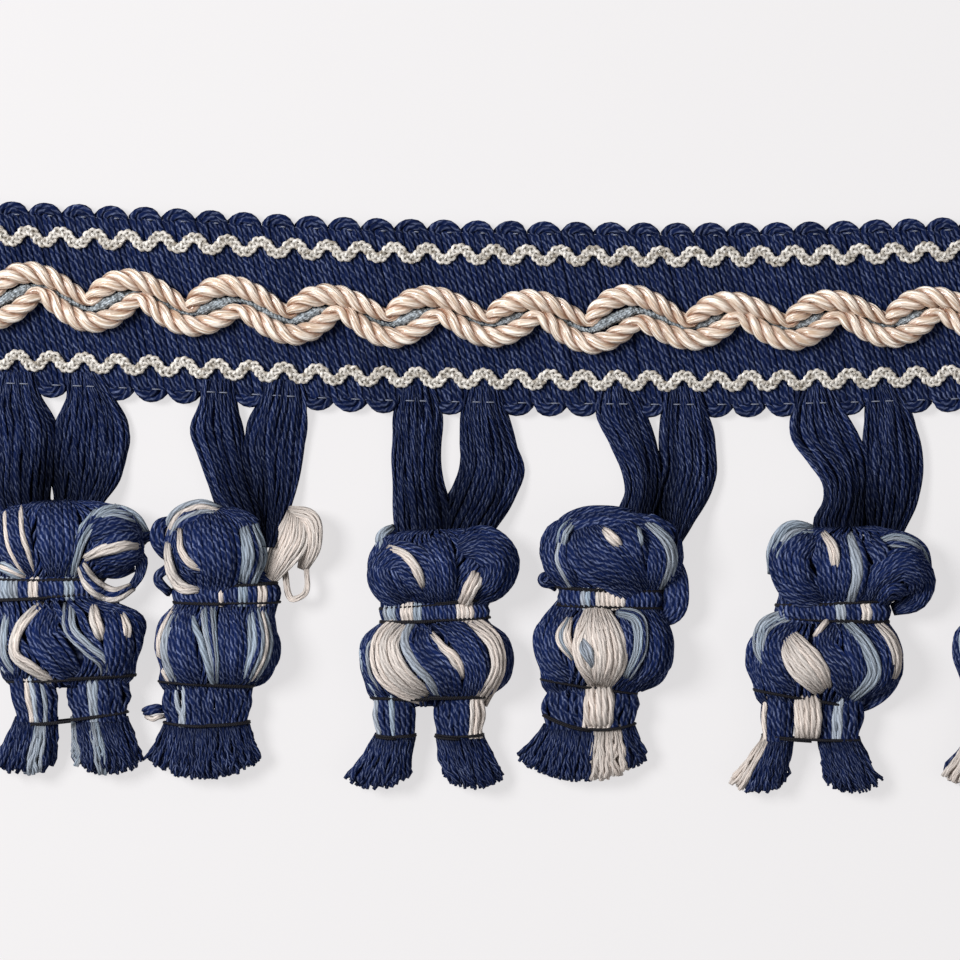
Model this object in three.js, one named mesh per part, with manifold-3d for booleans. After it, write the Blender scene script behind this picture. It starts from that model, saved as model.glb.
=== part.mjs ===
// A cut length of braid trim with a tassel fringe, lying face up.
// The heading is a woven band with looped edges. It carries two zigzag braids, two twisted cords and a fine
// cord between them. Below it, looped yarn hangers hold a row of tied tassels.
// Millimetres. X runs along the band, Y across it towards its upper loops, Z up from the surface it lies on.
// The origin is the middle of the band's back.
import * as THREE from "three";
import { mergeVertices } from "three/addons/utils/BufferGeometryUtils.js";
import Module from "manifold-3d";

// Repeats along the trim
const TASSEL_COUNT = 6;
const TASSEL_PITCH = 38;
const LOOPS_PER_TASSEL = 6;
const WAVES_PER_TASSEL = 2;
const STEPS_PER_LOOP = 4;
const TRIM_LENGTH = TASSEL_COUNT * TASSEL_PITCH;
const LOOP_PITCH = TASSEL_PITCH / LOOPS_PER_TASSEL;
const WAVE_PITCH = TASSEL_PITCH / WAVES_PER_TASSEL;
const STEP = LOOP_PITCH / STEPS_PER_LOOP;
const TRIM_STEPS = TASSEL_COUNT * LOOPS_PER_TASSEL * STEPS_PER_LOOP;

// Clearance between pieces that touch on the real trim
const GAP = 0.3;

// Woven band
const BAND_HALF_WIDTH = 17.3;
const BAND_THICKNESS = 2.2;
const BAND_EDGE_ROUND = 1.4;
const LOOP_RISE = 1.7;
const UPPER_LOOP_STEPS_BACK = 1;
const BAND_TOP = BAND_THICKNESS + GAP;

// Zigzag braids
const ZIGZAG_OFFSET = 12.1;
const ZIGZAG_SWING = 1.1;
const ZIGZAG_HALF_WIDTH = 0.95;
const ZIGZAG_HEIGHT = 1.4;

// Twisted cords: each is an arch that repeats, thick at its far side and drawn thin at its cusp
const CORD_PLIES = 4;
const CORD_TURNS_PER_WAVE = 1.75;
const CORD_GROOVE_SHARE = 0.8;
const CORD_FULL_RADIUS = 1.9;
const CORD_CUSP_RADIUS = 0.95;
const ARCH_FULLNESS = 0.75;
const UPPER_CORD = { cuspX: 4 * STEP, cuspY: -0.1, farY: 4.3, skew: 0.88 };
const LOWER_CORD = { cuspX: -2 * STEP, cuspY: -1.0, farY: -4.8, skew: 1.1 };

// Fine cord between the two twisted ones
const FINE_CORD_HEIGHT = 1.8;

// Hangers: two legs of yarn strands that meet in a bight inside the tassel
const STRANDS_PER_LEG = 4;
const STRAND_STEPS = 4;
const STRAND_GAP = 0.25;
const STRAND_RISE = 1.6;
const STRAND_FALL = 1.2;
const STRAND_END_SHARE = 0.6;
const LEG_ROOT_HALF_WIDTH = 2.9;
const LEG_ROOT_HALF_HEIGHT = 1.1;
const LEG_ROOT_DEPTH = 1.6;
const LEG_ROOT_Z = 1.2;
const LEG_REST_Z = 1.5;
const LEG_LOW_Z = 3.0;
const BIGHT_Z = 5.2;
const BIGHT_HALF_HEIGHT = 1.6;
const BIGHT_ABOVE_CROWN = 1.8;
const BIGHT_BELOW_CROWN = 4.4;
const BIGHT_TAPER = 0.85;

// Tassels
const BODY_SIDES = 10;
const BODY_SQUARENESS = 0.8;
const BODY_RIDGE = 0.035;
const TIE_RADIUS = 0.38;
const TIE_SIDES = 3;
const FOOT_TIE_SLACK = 0.4;
const LEG_SIDES = 6;
const LEG_INSIDE_BODY = 1.1;
const LEG_END_PAST_TIE = 1.6;
const LOCK_ROOT_OVERLAP = 1.1;
const LOCK_GAP = 0.25;
const LOCK_RISE = 1.6;
const LOCK_FALL = 1.2;
const LOCK_LAYERS = [
  { rootZ: 2.8, hemZ: 1.2 },
  { rootZ: 4.6, hemZ: 4.2 },
];

// The band's bend in its own plane, at each tassel repeat
const BAND_BEND = [
  { x: -114, rise: 4.2 },
  { x: -76, rise: 2.7 },
  { x: -38, rise: 0.8 },
  { x: 0, rise: 0 },
  { x: 38, rise: -0.2 },
  { x: 76, rise: 0.8 },
  { x: 114, rise: 2.3 },
];

// A tassel's sections from its crown down to just past the tie under its belly: "of" names the width that the
// share is taken of, "height" is half the thickness and "z" the section's middle above the surface
const TASSEL_SECTIONS = [
  { along: 0, of: "puff", share: 0.74, height: 3.4, z: 5.3 },
  { along: 2.0, of: "puff", share: 0.92, height: 5.2, z: 5.3 },
  { along: 8.0, of: "puff", share: 1.0, height: 6.4, z: 5.2 },
  { along: 12.6, of: "puff", share: 0.92, height: 5.4, z: 5.0 },
  { along: 14.8, of: "waist", share: 1.0, height: 3.5, z: 4.7 },
  { along: 19.4, of: "waist", share: 1.0, height: 3.5, z: 4.7 },
  { along: 21.8, of: "belly", share: 0.92, height: 5.3, z: 4.9 },
  { along: 26.5, of: "belly", share: 1.0, height: 6.3, z: 5.1 },
  { along: 31.0, of: "belly", share: 0.9, height: 5.2, z: 4.8 },
  { along: 33.3, of: "neck", share: 1.0, height: 3.1, z: 4.2 },
  { along: 34.7, of: "neck", share: 1.0, height: 3.1, z: 4.2 },
];
const UPPER_WAIST_TIE = 15.5;
const LOWER_WAIST_TIE = 18.7;
const BELLY_TIE = 34.0;
const FOOT_TIE = 41.6;
const HEM = 51.5;

// A tassel leg's sections, from inside the body to just past its foot tie
const TASSEL_LEG_SECTIONS = [
  { along: BELLY_TIE - LEG_INSIDE_BODY, at: "top", share: 0.92, height: 2.4, z: 4.2 },
  { along: 36.4, at: "top", share: 1.0, height: 2.7, z: 4.1 },
  { along: FOOT_TIE, at: "tie", share: 1.0, height: 2.4, z: 4.0 },
  { along: FOOT_TIE + LEG_END_PAST_TIE, at: "tie", share: 1.08, height: 2.7, z: 3.9 },
];

// One row for each tassel, in order along the trim. "drop" is from the band's middle line to the crown and
// "stretch" scales the sections. The x values are from the middle of the tassel's two hanger legs. "footTies"
// is 2 where each leg has a tie of its own.
const TASSELS = [
  {
    drop: 37.3, stretch: 1.02, bightX: 0.5, bightHalf: 9.2, puffX: 3.0, puffHalf: 14.6,
    waistX: -0.5, waistHalf: 10.4, bellyX: 3.2, bellyHalf: 14.3, neckX: 3.4, neckHalf: 12.0, footTies: 1,
  },
  {
    drop: 36.9, stretch: 1.01, bightX: 0.0, bightHalf: 6.9, puffX: -3.4, puffHalf: 15.2,
    waistX: -4.6, waistHalf: 9.8, bellyX: -6.3, bellyHalf: 11.6, neckX: -8.3, neckHalf: 8.8, footTies: 1,
  },
  {
    drop: 39.6, stretch: 0.965, bightX: -2.1, bightHalf: 8.8, puffX: -1.7, puffHalf: 14.5,
    waistX: -3.0, waistHalf: 10.0, bellyX: -2.8, bellyHalf: 14.7, neckX: -4.2, neckHalf: 10.7, footTies: 2,
  },
  {
    drop: 35.9, stretch: 1.0, bightX: -1.6, bightHalf: 5.8, puffX: -6.9, puffHalf: 14.0,
    waistX: -7.8, waistHalf: 9.6, bellyX: -9.0, bellyHalf: 13.0, neckX: -11.1, neckHalf: 9.2, footTies: 1,
  },
  {
    drop: 39.0, stretch: 0.99, bightX: 1.2, bightHalf: 8.4, puffX: 0.2, puffHalf: 15.8,
    waistX: -3.6, waistHalf: 10.4, bellyX: -5.1, bellyHalf: 14.8, neckX: -7.4, neckHalf: 10.3, footTies: 1,
  },
  {
    drop: 38.8, stretch: 1.0, bightX: 0.2, bightHalf: 8.2, puffX: -0.6, puffHalf: 14.6,
    waistX: -2.6, waistHalf: 10.2, bellyX: -4.0, bellyHalf: 14.2, neckX: -5.6, neckHalf: 10.2, footTies: 1,
  },
];

// Hanger legs: the middle and half width of each one, high and low on its way down to the tassel
const HANGER_HIGH = 0.4;
const HANGER_LOW = 0.75;
const HANGER_LEGS = [
  { tassel: 0, side: -1, highX: -6.3, highHalf: 4.8, lowX: -5.8, lowHalf: 4.7 },
  { tassel: 0, side: 1, highX: 7.1, highHalf: 6.6, lowX: 6.0, lowHalf: 5.6 },
  { tassel: 1, side: -1, highX: -6.8, highHalf: 4.7, lowX: -4.3, lowHalf: 3.8 },
  { tassel: 1, side: 1, highX: 4.9, highHalf: 4.9, lowX: 4.2, lowHalf: 4.0 },
  { tassel: 2, side: -1, highX: -6.3, highHalf: 4.5, lowX: -6.6, lowHalf: 4.4 },
  { tassel: 2, side: 1, highX: 7.2, highHalf: 6.0, lowX: 5.0, lowHalf: 5.6 },
  { tassel: 3, side: -1, highX: -3.6, highHalf: 4.1, lowX: -2.4, lowHalf: 3.4 },
  { tassel: 3, side: 1, highX: 7.4, highHalf: 5.2, lowX: 5.8, lowHalf: 4.2 },
  { tassel: 4, side: -1, highX: -4.2, highHalf: 5.2, lowX: -1.6, lowHalf: 4.2 },
  { tassel: 4, side: 1, highX: 8.2, highHalf: 5.0, lowX: 7.6, lowHalf: 4.4 },
  { tassel: 5, side: -1, highX: -6.0, highHalf: 4.8, lowX: -4.6, lowHalf: 4.4 },
  { tassel: 5, side: 1, highX: 7.2, highHalf: 5.2, lowX: 5.6, lowHalf: 4.8 },
];

// Tassel legs: the middle and half width under the belly, at the foot tie and at the cut hem, and the number
// of locks in each layer
const TASSEL_LEGS = [
  { tassel: 0, topX: -3.6, topHalf: 4.4, tieX: -2.6, tieHalf: 4.0, hemX: -5.2, hemHalf: 5.9, locks: 3 },
  { tassel: 0, topX: 9.0, topHalf: 5.8, tieX: 9.2, tieHalf: 5.4, hemX: 10.8, hemHalf: 6.4, locks: 3 },
  { tassel: 1, topX: -8.3, topHalf: 8.2, tieX: -8.4, tieHalf: 8.2, hemX: -9.1, hemHalf: 11.0, locks: 5 },
  { tassel: 2, topX: -10.8, topHalf: 3.8, tieX: -10.5, tieHalf: 3.8, hemX: -14.2, hemHalf: 5.5, locks: 3 },
  { tassel: 2, topX: 1.6, topHalf: 4.6, tieX: 1.6, tieHalf: 4.5, hemX: 4.3, hemHalf: 5.2, locks: 3 },
  { tassel: 3, topX: -11.1, topHalf: 8.6, tieX: -11.7, tieHalf: 8.6, hemX: -13.0, hemHalf: 12.6, locks: 5 },
  { tassel: 4, topX: -13.6, topHalf: 3.7, tieX: -14.2, tieHalf: 3.7, hemX: -18.0, hemHalf: 5.2, locks: 3 },
  { tassel: 4, topX: -3.9, topHalf: 5.6, tieX: -3.2, tieHalf: 4.8, hemX: 0.6, hemHalf: 5.2, locks: 3 },
  { tassel: 5, topX: -11.2, topHalf: 3.9, tieX: -11.6, tieHalf: 3.8, hemX: -15.0, hemHalf: 5.4, locks: 3 },
  { tassel: 5, topX: -0.8, topHalf: 5.0, tieX: -0.6, tieHalf: 4.6, hemX: 2.6, hemHalf: 5.4, locks: 3 },
];

const navyYarn = new THREE.MeshStandardMaterial({ color: 0x1f2a5c, roughness: 0.85, metalness: 0 });
const mixedYarn = new THREE.MeshStandardMaterial({ color: 0x2b3566, roughness: 0.85, metalness: 0 });
const satinCord = new THREE.MeshStandardMaterial({ color: 0xe8cdaf, roughness: 0.4, metalness: 0 });
const creamBraid = new THREE.MeshStandardMaterial({ color: 0xd8d0c0, roughness: 0.6, metalness: 0 });
const blueCord = new THREE.MeshStandardMaterial({ color: 0x7f90a9, roughness: 0.8, metalness: 0 });
const blackThread = new THREE.MeshStandardMaterial({ color: 0x16141c, roughness: 0.7, metalness: 0 });

const wasm = await Module();
wasm.setup();

const { clamp, euclideanModulo, lerp } = THREE.MathUtils;

// Reads a table smoothly: gives the value in a column at any place along its key.
function smooth(rows, key, column) {
  const places = rows.map((row) => row[key]);
  const values = rows.map((row) => row[column]);
  const curve = new THREE.CubicInterpolant(places, values, 1);
  return (at) => curve.evaluate(at)[0];
}

const bandRise = smooth(BAND_BEND, "x", "rise");
const tasselX = (tassel) => (tassel - (TASSEL_COUNT - 1) / 2) * TASSEL_PITCH;

// A closed tube. place(along, corner, share) gives each point: along runs from 0 to 1, corner counts round
// the section and share is 1 on the surface and 0 in the middle of an end.
function tube(sides, steps, place) {
  const geometry = new THREE.CylinderGeometry(1, 1, 1, sides, steps);
  const points = geometry.getAttribute("position");
  for (let i = 0; i < points.count; i += 1) {
    const turn = Math.atan2(points.getX(i), points.getZ(i)) / (2 * Math.PI);
    const corner = (Math.round(turn * sides) + sides) % sides;
    const share = Math.round(Math.hypot(points.getX(i), points.getZ(i)));
    points.setXYZ(i, ...place(points.getY(i) + 0.5, corner, share));
  }
  return weld(geometry);
}

function weld(geometry) {
  geometry.deleteAttribute("normal");
  geometry.deleteAttribute("uv");
  return mergeVertices(geometry);
}

function solidOf(geometry) {
  const vertProperties = new Float32Array(geometry.getAttribute("position").array);
  const triVerts = new Uint32Array(geometry.index.array);
  return new wasm.Manifold(new wasm.Mesh({ numProp: 3, vertProperties, triVerts }));
}

function geometryOf(solid) {
  const mesh = solid.getMesh();
  const geometry = new THREE.BufferGeometry();
  geometry.setAttribute("position", new THREE.BufferAttribute(new Float32Array(mesh.vertProperties), 3));
  geometry.setIndex(new THREE.BufferAttribute(new Uint32Array(mesh.triVerts), 1));
  return geometry;
}

function joined(geometries) {
  return geometries.map(solidOf).reduce((whole, next) => whole.add(next));
}

function named(name, geometry, material) {
  const mesh = new THREE.Mesh(geometry, material);
  mesh.name = name;
  return mesh;
}

// Places of the sections along the trim: one at each end and the others "every" so many steps, moved back by
// "back" steps.
function sectionPlaces(every, back) {
  const end = TRIM_LENGTH / 2;
  const count = Math.ceil((TRIM_STEPS + back) / every);
  return Array.from({ length: count + 1 }, (_, i) => clamp((i * every - back) * STEP - end, -end, end));
}

// A tube along the whole trim that follows the band's bend. section(x) lists the corners of the section that
// stands square to X, each as [y from the band's middle line, z], from the top round by the lower edge.
function alongTrim(places, section) {
  const steps = places.length - 1;
  const sides = section(0).length;
  return tube(sides, steps, (along, corner, share) => {
    const x = places[Math.round(along * steps)];
    const corners = section(x);
    const middle = [0, 1].map((axis) => corners.reduce((sum, point) => sum + point[axis], 0) / sides);
    const [y, z] = share > 0 ? corners[corner] : middle;
    return [x, bandRise(x) + y, z];
  });
}

// True where a hanger leg takes the place of a lower loop.
function hangerAt(x) {
  return HANGER_LEGS.some((leg) => {
    const rootX = tasselX(leg.tassel) + leg.side * LOOP_PITCH;
    return Math.abs(x - rootX) < LOOP_PITCH / 2;
  });
}

// Where x lies in the repeat of the loops, as an angle that is 0 at the tip of a loop.
function loopPhase(x, stepsBack) {
  return (2 * Math.PI * (x + stepsBack * STEP)) / LOOP_PITCH;
}

const loopRise = (x, stepsBack) => LOOP_RISE * Math.abs(Math.cos(loopPhase(x, stepsBack) / 2));

// The woven band: flat front and back, with a rounded row of loops along each edge.
function wovenBand() {
  const flat = BAND_HALF_WIDTH - BAND_EDGE_ROUND;
  return alongTrim(sectionPlaces(1, 0), (x) => {
    const upper = BAND_HALF_WIDTH + loopRise(x, UPPER_LOOP_STEPS_BACK);
    const lower = BAND_HALF_WIDTH + (hangerAt(x) ? 0 : loopRise(x, 0));
    return [
      [-flat, BAND_THICKNESS],
      [-lower, BAND_THICKNESS / 2],
      [-flat, 0],
      [flat, 0],
      [upper, BAND_THICKNESS / 2],
      [flat, BAND_THICKNESS],
    ];
  });
}

// A zigzag braid: a ridged strip that swings to and fro once for each loop of its edge.
function zigzagBraid(edge, stepsBack) {
  return alongTrim(sectionPlaces(STEPS_PER_LOOP / 2, stepsBack), (x) => {
    const middle = edge * (ZIGZAG_OFFSET - ZIGZAG_SWING * Math.cos(loopPhase(x, stepsBack)));
    return [
      [middle, BAND_TOP + ZIGZAG_HEIGHT],
      [middle - ZIGZAG_HALF_WIDTH, BAND_TOP],
      [middle + ZIGZAG_HALF_WIDTH, BAND_TOP],
    ];
  });
}

// How far a cord has swung from its cusp, from 0 to 1.
function archShare(cord, x) {
  const phase = euclideanModulo((x - cord.cuspX) / WAVE_PITCH, 1);
  return Math.max(0, Math.sin(Math.PI * phase ** cord.skew)) ** ARCH_FULLNESS;
}

const cordY = (cord, x) => lerp(cord.cuspY, cord.farY, archShare(cord, x));
const cordRadius = (cord, x) => lerp(CORD_CUSP_RADIUS, CORD_FULL_RADIUS, archShare(cord, x));

// A twisted cord that lies on the band: its section has a lobe for each ply and turns along it.
function twistedCord(cord) {
  return alongTrim(sectionPlaces(1, 0), (x) => {
    const radius = cordRadius(cord, x);
    const turn = (2 * Math.PI * CORD_TURNS_PER_WAVE * x) / WAVE_PITCH;
    return Array.from({ length: 2 * CORD_PLIES }, (_, i) => {
      const angle = turn + (Math.PI * i) / CORD_PLIES;
      const reach = radius * (i % 2 === 0 ? 1 : CORD_GROOVE_SHARE);
      return [cordY(cord, x) - reach * Math.sin(angle), BAND_TOP + radius + reach * Math.cos(angle)];
    });
  });
}

// The fine cord: it fills what the two twisted cords leave between them.
function fineCord() {
  return alongTrim(sectionPlaces(2, 0), (x) => {
    const upper = cordY(UPPER_CORD, x) - cordRadius(UPPER_CORD, x) - GAP;
    const lower = cordY(LOWER_CORD, x) + cordRadius(LOWER_CORD, x) + GAP;
    return [
      [(upper + lower) / 2, BAND_TOP + FINE_CORD_HEIGHT],
      [lower, BAND_TOP],
      [upper, BAND_TOP],
    ];
  });
}

// Section outlines for tubes that run down the page, each corner as [sideways, upward], from the top round by
// the left.
const ridgeSection = (half, rise, fall) => [[0, rise], [-half, -fall], [half, -fall]];
const boxSection = (half, height) => [[-half, height], [-half, -height], [half, -height], [half, height]];

function ovalSection(sides, half, height, ridge) {
  const squared = (value) => Math.sign(value) * Math.abs(value) ** BODY_SQUARENESS;
  return Array.from({ length: sides }, (_, i) => {
    const angle = (2 * Math.PI * i) / sides;
    const swell = 1 + ridge * (i % 2 === 0 ? 1 : -1);
    return [-swell * half * squared(Math.sin(angle)), swell * height * squared(Math.cos(angle))];
  });
}

// A tube that runs down the page. middle(along) gives { x, y, z } and section(along) the outline round it. It
// is flat where it meets the surface it lies on.
function downTube(steps, middle, section) {
  const sides = section(0).length;
  return tube(sides, steps, (along, corner, share) => {
    const { x, y, z } = middle(along);
    const [sideways, upward] = section(along)[corner];
    return [x + share * sideways, y, Math.max(0, z + share * upward)];
  });
}

// One tassel's row with its place on the trim.
function tasselPlace(index) {
  const row = TASSELS[index];
  const x = tasselX(index);
  const crownY = bandRise(x) - row.drop;
  return { row, x, crownY, yAt: (along) => crownY - along * row.stretch };
}

// The bight of a hanger, or with a clearance the pocket that it sits in.
function bight(index, clearance) {
  const { row, x, crownY } = tasselPlace(index);
  const top = crownY + BIGHT_ABOVE_CROWN + clearance;
  const bottom = crownY - BIGHT_BELOW_CROWN - clearance;
  return downTube(
    1,
    (along) => ({ x: x + row.bightX, y: lerp(top, bottom, along), z: BIGHT_Z }),
    (along) => {
      const half = row.bightHalf * lerp(1, BIGHT_TAPER, along);
      return boxSection(half + clearance, BIGHT_HALF_HEIGHT + clearance);
    },
  );
}

// One leg of a hanger: the strip at its root and its strands, which run down into the bight.
function hangerLeg(leg) {
  const { row, x, crownY } = tasselPlace(leg.tassel);
  const rootX = x + leg.side * LOOP_PITCH;
  const rootTop = bandRise(rootX) - BAND_HALF_WIDTH - GAP;
  const endHalf = row.bightHalf / 2;
  const endX = x + row.bightX + leg.side * endHalf;
  const rows = [
    { along: 0, x: rootX, half: LEG_ROOT_HALF_WIDTH, z: LEG_ROOT_Z, full: STRAND_END_SHARE },
    { along: HANGER_HIGH, x: x + leg.highX, half: leg.highHalf, z: LEG_REST_Z, full: 1 },
    { along: HANGER_LOW, x: x + leg.lowX, half: leg.lowHalf, z: LEG_LOW_Z, full: 1 },
    { along: 1, x: endX, half: endHalf, z: BIGHT_Z, full: STRAND_END_SHARE },
  ];
  const [middleX, halfWidth, middleZ, fullness] = ["x", "half", "z", "full"].map((column) =>
    smooth(rows, "along", column),
  );
  const strandTop = rootTop - LEG_ROOT_DEPTH / 2;
  const strandBottom = crownY + BIGHT_ABOVE_CROWN / 2;
  const strands = Array.from({ length: STRANDS_PER_LEG }, (_, i) => {
    const across = (2 * i + 1) / STRANDS_PER_LEG - 1;
    return downTube(
      STRAND_STEPS,
      (along) => ({
        x: middleX(along) + across * halfWidth(along),
        y: lerp(strandTop, strandBottom, along),
        z: middleZ(along),
      }),
      (along) => {
        const half = halfWidth(along) / STRANDS_PER_LEG - STRAND_GAP / 2;
        return ridgeSection(half, STRAND_RISE * fullness(along), STRAND_FALL * fullness(along));
      },
    );
  });
  const rootStrip = downTube(
    1,
    (along) => ({ x: rootX, y: rootTop - along * LEG_ROOT_DEPTH, z: LEG_ROOT_Z }),
    () => boxSection(LEG_ROOT_HALF_WIDTH, LEG_ROOT_HALF_HEIGHT),
  );
  return [rootStrip, ...strands];
}

function hanger(index) {
  const legs = HANGER_LEGS.filter((leg) => leg.tassel === index).flatMap(hangerLeg);
  return geometryOf(joined([bight(index, 0), ...legs]));
}

// A tassel's body from crown to belly tie: two puffs of yarn with a tied waist between them.
function tasselBody(index) {
  const { row, x, yAt } = tasselPlace(index);
  const steps = TASSEL_SECTIONS.length - 1;
  const sectionAt = (along) => TASSEL_SECTIONS[Math.round(along * steps)];
  return downTube(
    steps,
    (along) => {
      const section = sectionAt(along);
      return { x: x + row[section.of + "X"], y: yAt(section.along), z: section.z };
    },
    (along) => {
      const section = sectionAt(along);
      const ridge = section.of === "puff" || section.of === "belly" ? BODY_RIDGE : 0;
      return ovalSection(BODY_SIDES, row[section.of + "Half"] * section.share, section.height, ridge);
    },
  );
}

// A tassel leg from under the belly to just past its foot tie.
function tasselLeg(leg) {
  const { x, yAt } = tasselPlace(leg.tassel);
  const steps = TASSEL_LEG_SECTIONS.length - 1;
  const sectionAt = (along) => TASSEL_LEG_SECTIONS[Math.round(along * steps)];
  return downTube(
    steps,
    (along) => {
      const section = sectionAt(along);
      return { x: x + leg[section.at + "X"], y: yAt(section.along), z: section.z };
    },
    (along) => {
      const section = sectionAt(along);
      return ovalSection(LEG_SIDES, leg[section.at + "Half"] * section.share, section.height, 0);
    },
  );
}

// The cut ends of a tassel leg: two layers of locks that fan out from the foot tie and end level.
function tasselLocks(leg) {
  const { x, yAt } = tasselPlace(leg.tassel);
  const rootAlong = FOOT_TIE + LEG_END_PAST_TIE - LOCK_ROOT_OVERLAP;
  const halfWidth = (along) => lerp(leg.tieHalf, leg.hemHalf, along);
  return LOCK_LAYERS.flatMap((layer) =>
    Array.from({ length: leg.locks }, (_, i) => {
      const across = (2 * i + 1) / leg.locks - 1;
      return downTube(
        2,
        (along) => ({
          x: x + lerp(leg.tieX, leg.hemX, along) + across * halfWidth(along),
          y: yAt(lerp(rootAlong, HEM, along)),
          z: lerp(layer.rootZ, layer.hemZ, Math.min(1, 2 * along)),
        }),
        (along) => ridgeSection(halfWidth(along) / leg.locks - LOCK_GAP / 2, LOCK_RISE, LOCK_FALL),
      );
    }),
  );
}

function tassel(index) {
  const legs = TASSEL_LEGS.filter((leg) => leg.tassel === index);
  const pieces = [tasselBody(index), ...legs.map(tasselLeg), ...legs.flatMap(tasselLocks)];
  return geometryOf(joined(pieces).subtract(solidOf(bight(index, GAP))));
}

// A winding of thread round an oval that is centred at x and z and stands square to Y.
function tieRing(x, y, z, half, height) {
  const geometry = new THREE.TorusGeometry(1, TIE_RADIUS, TIE_SIDES, BODY_SIDES);
  const points = geometry.getAttribute("position");
  for (let i = 0; i < points.count; i += 1) {
    const turn = Math.atan2(points.getY(i), points.getX(i)) / (2 * Math.PI);
    const corner = (Math.round(turn * BODY_SIDES) + BODY_SIDES) % BODY_SIDES;
    const out = Math.hypot(points.getX(i), points.getY(i)) - 1 + TIE_RADIUS + GAP;
    const [sideways, upward] = ovalSection(BODY_SIDES, half + out, height + out, 0)[corner];
    points.setXYZ(i, x + sideways, y - points.getZ(i), z + upward);
  }
  return weld(geometry);
}

// A tie round the body, in one of its tied stretches.
function bodyTie(index, along) {
  const { row, x, yAt } = tasselPlace(index);
  const section = TASSEL_SECTIONS.findLast((candidate) => candidate.along < along);
  return tieRing(x + row[section.of + "X"], yAt(along), section.z, row[section.of + "Half"], section.height);
}

// A foot tie round one leg, or round the row of a tassel's legs.
function footTie(legs) {
  const { x, yAt } = tasselPlace(legs[0].tassel);
  const section = TASSEL_LEG_SECTIONS.find((candidate) => candidate.along === FOOT_TIE);
  const left = Math.min(...legs.map((leg) => leg.tieX - leg.tieHalf));
  const right = Math.max(...legs.map((leg) => leg.tieX + leg.tieHalf));
  const height = section.height + FOOT_TIE_SLACK * (legs.length - 1);
  return tieRing(x + (left + right) / 2, yAt(FOOT_TIE), section.z, (right - left) / 2, height);
}

function tasselTies(index) {
  const name = "tassel_" + (index + 1);
  const legs = TASSEL_LEGS.filter((leg) => leg.tassel === index);
  const footGroups = TASSELS[index].footTies > 1 ? legs.map((leg) => [leg]) : [legs];
  return [
    named(name + "_waist_tie_upper", bodyTie(index, UPPER_WAIST_TIE), blackThread),
    named(name + "_waist_tie_lower", bodyTie(index, LOWER_WAIST_TIE), blackThread),
    named(name + "_belly_tie", bodyTie(index, BELLY_TIE), blackThread),
    ...footGroups.map((group, i) => {
      const suffix = footGroups.length > 1 ? "_" + (i + 1) : "";
      return named(name + "_foot_tie" + suffix, footTie(group), blackThread);
    }),
  ];
}

function heading() {
  const group = new THREE.Group();
  group.add(
    named("woven_band", wovenBand(), navyYarn),
    named("zigzag_braid_upper", zigzagBraid(1, UPPER_LOOP_STEPS_BACK), creamBraid),
    named("zigzag_braid_lower", zigzagBraid(-1, 0), creamBraid),
    named("twisted_cord_upper", twistedCord(UPPER_CORD), satinCord),
    named("twisted_cord_lower", twistedCord(LOWER_CORD), satinCord),
    named("fine_cord", fineCord(), blueCord),
  );
  return group;
}

function fringeTassel(index) {
  const group = new THREE.Group();
  group.add(
    named("hanger_" + (index + 1), hanger(index), navyYarn),
    named("tassel_" + (index + 1), tassel(index), mixedYarn),
    ...tasselTies(index),
  );
  return group;
}

const trim = new THREE.Group();
trim.add(heading());
for (let index = 0; index < TASSEL_COUNT; index += 1) trim.add(fringeTassel(index));

export default trim;
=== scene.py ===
import math
from typing import NamedTuple

import bmesh
import bpy
import numpy as np
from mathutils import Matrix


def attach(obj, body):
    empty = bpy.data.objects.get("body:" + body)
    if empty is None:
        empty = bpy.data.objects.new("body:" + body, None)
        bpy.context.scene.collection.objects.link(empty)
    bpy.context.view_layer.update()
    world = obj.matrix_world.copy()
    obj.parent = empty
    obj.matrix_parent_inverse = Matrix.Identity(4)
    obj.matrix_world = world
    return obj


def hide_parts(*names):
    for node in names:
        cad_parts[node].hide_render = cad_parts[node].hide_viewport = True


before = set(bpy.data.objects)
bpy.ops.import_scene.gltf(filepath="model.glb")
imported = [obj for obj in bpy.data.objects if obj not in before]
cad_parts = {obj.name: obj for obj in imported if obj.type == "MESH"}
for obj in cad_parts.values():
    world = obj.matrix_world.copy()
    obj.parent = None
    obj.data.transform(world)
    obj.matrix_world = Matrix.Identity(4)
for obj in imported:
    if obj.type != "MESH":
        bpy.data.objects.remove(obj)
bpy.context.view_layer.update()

# A cut length of braid trim with a tassel fringe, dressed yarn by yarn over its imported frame.
# Tables and paths are in millimetres, in the frame's own axes: X along the band, Y across it, Z up.
# "down" is the distance below the band's middle line. Meshes and properties are in metres.

bl_info = {
    "name": "Tassel Braid Trim",
    "version": (1, 0, 0),
    "blender": (4, 5, 0),
    "location": "View3D > Sidebar > Braid Trim",
    "description": "Dresses the packed trim with its yarns, cords, braids and ties, and sets the studio",
    "category": "Add Mesh",
}

MM = 0.001

# Repeats along the trim
TASSEL_COUNT = 6
TASSEL_PITCH = 38.0
LOOP_PITCH = TASSEL_PITCH / 6
WAVE_PITCH = TASSEL_PITCH / 2
STEP = LOOP_PITCH / 4
TRIM_END = TASSEL_COUNT * TASSEL_PITCH / 2

# The band's bend in its own plane, at each tassel repeat
BEND_X = (-114, -76, -38, 0, 38, 76, 114)
BEND_RISE = (4.2, 2.7, 0.8, 0.0, -0.2, 0.8, 2.3)

# Yarns and strands
STRAND_SIDES = 5
STRAND_START_SPREAD = 40.0
THINNEST_YARN = 0.3
THICKNESS_UNEVENNESS = 0.06
SWAY_WAVES = (0.7, 1.6, 3.1)
NEARLY_UPRIGHT = 0.1
RUN_SAMPLES = 6001
TINY = 1e-9

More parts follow.
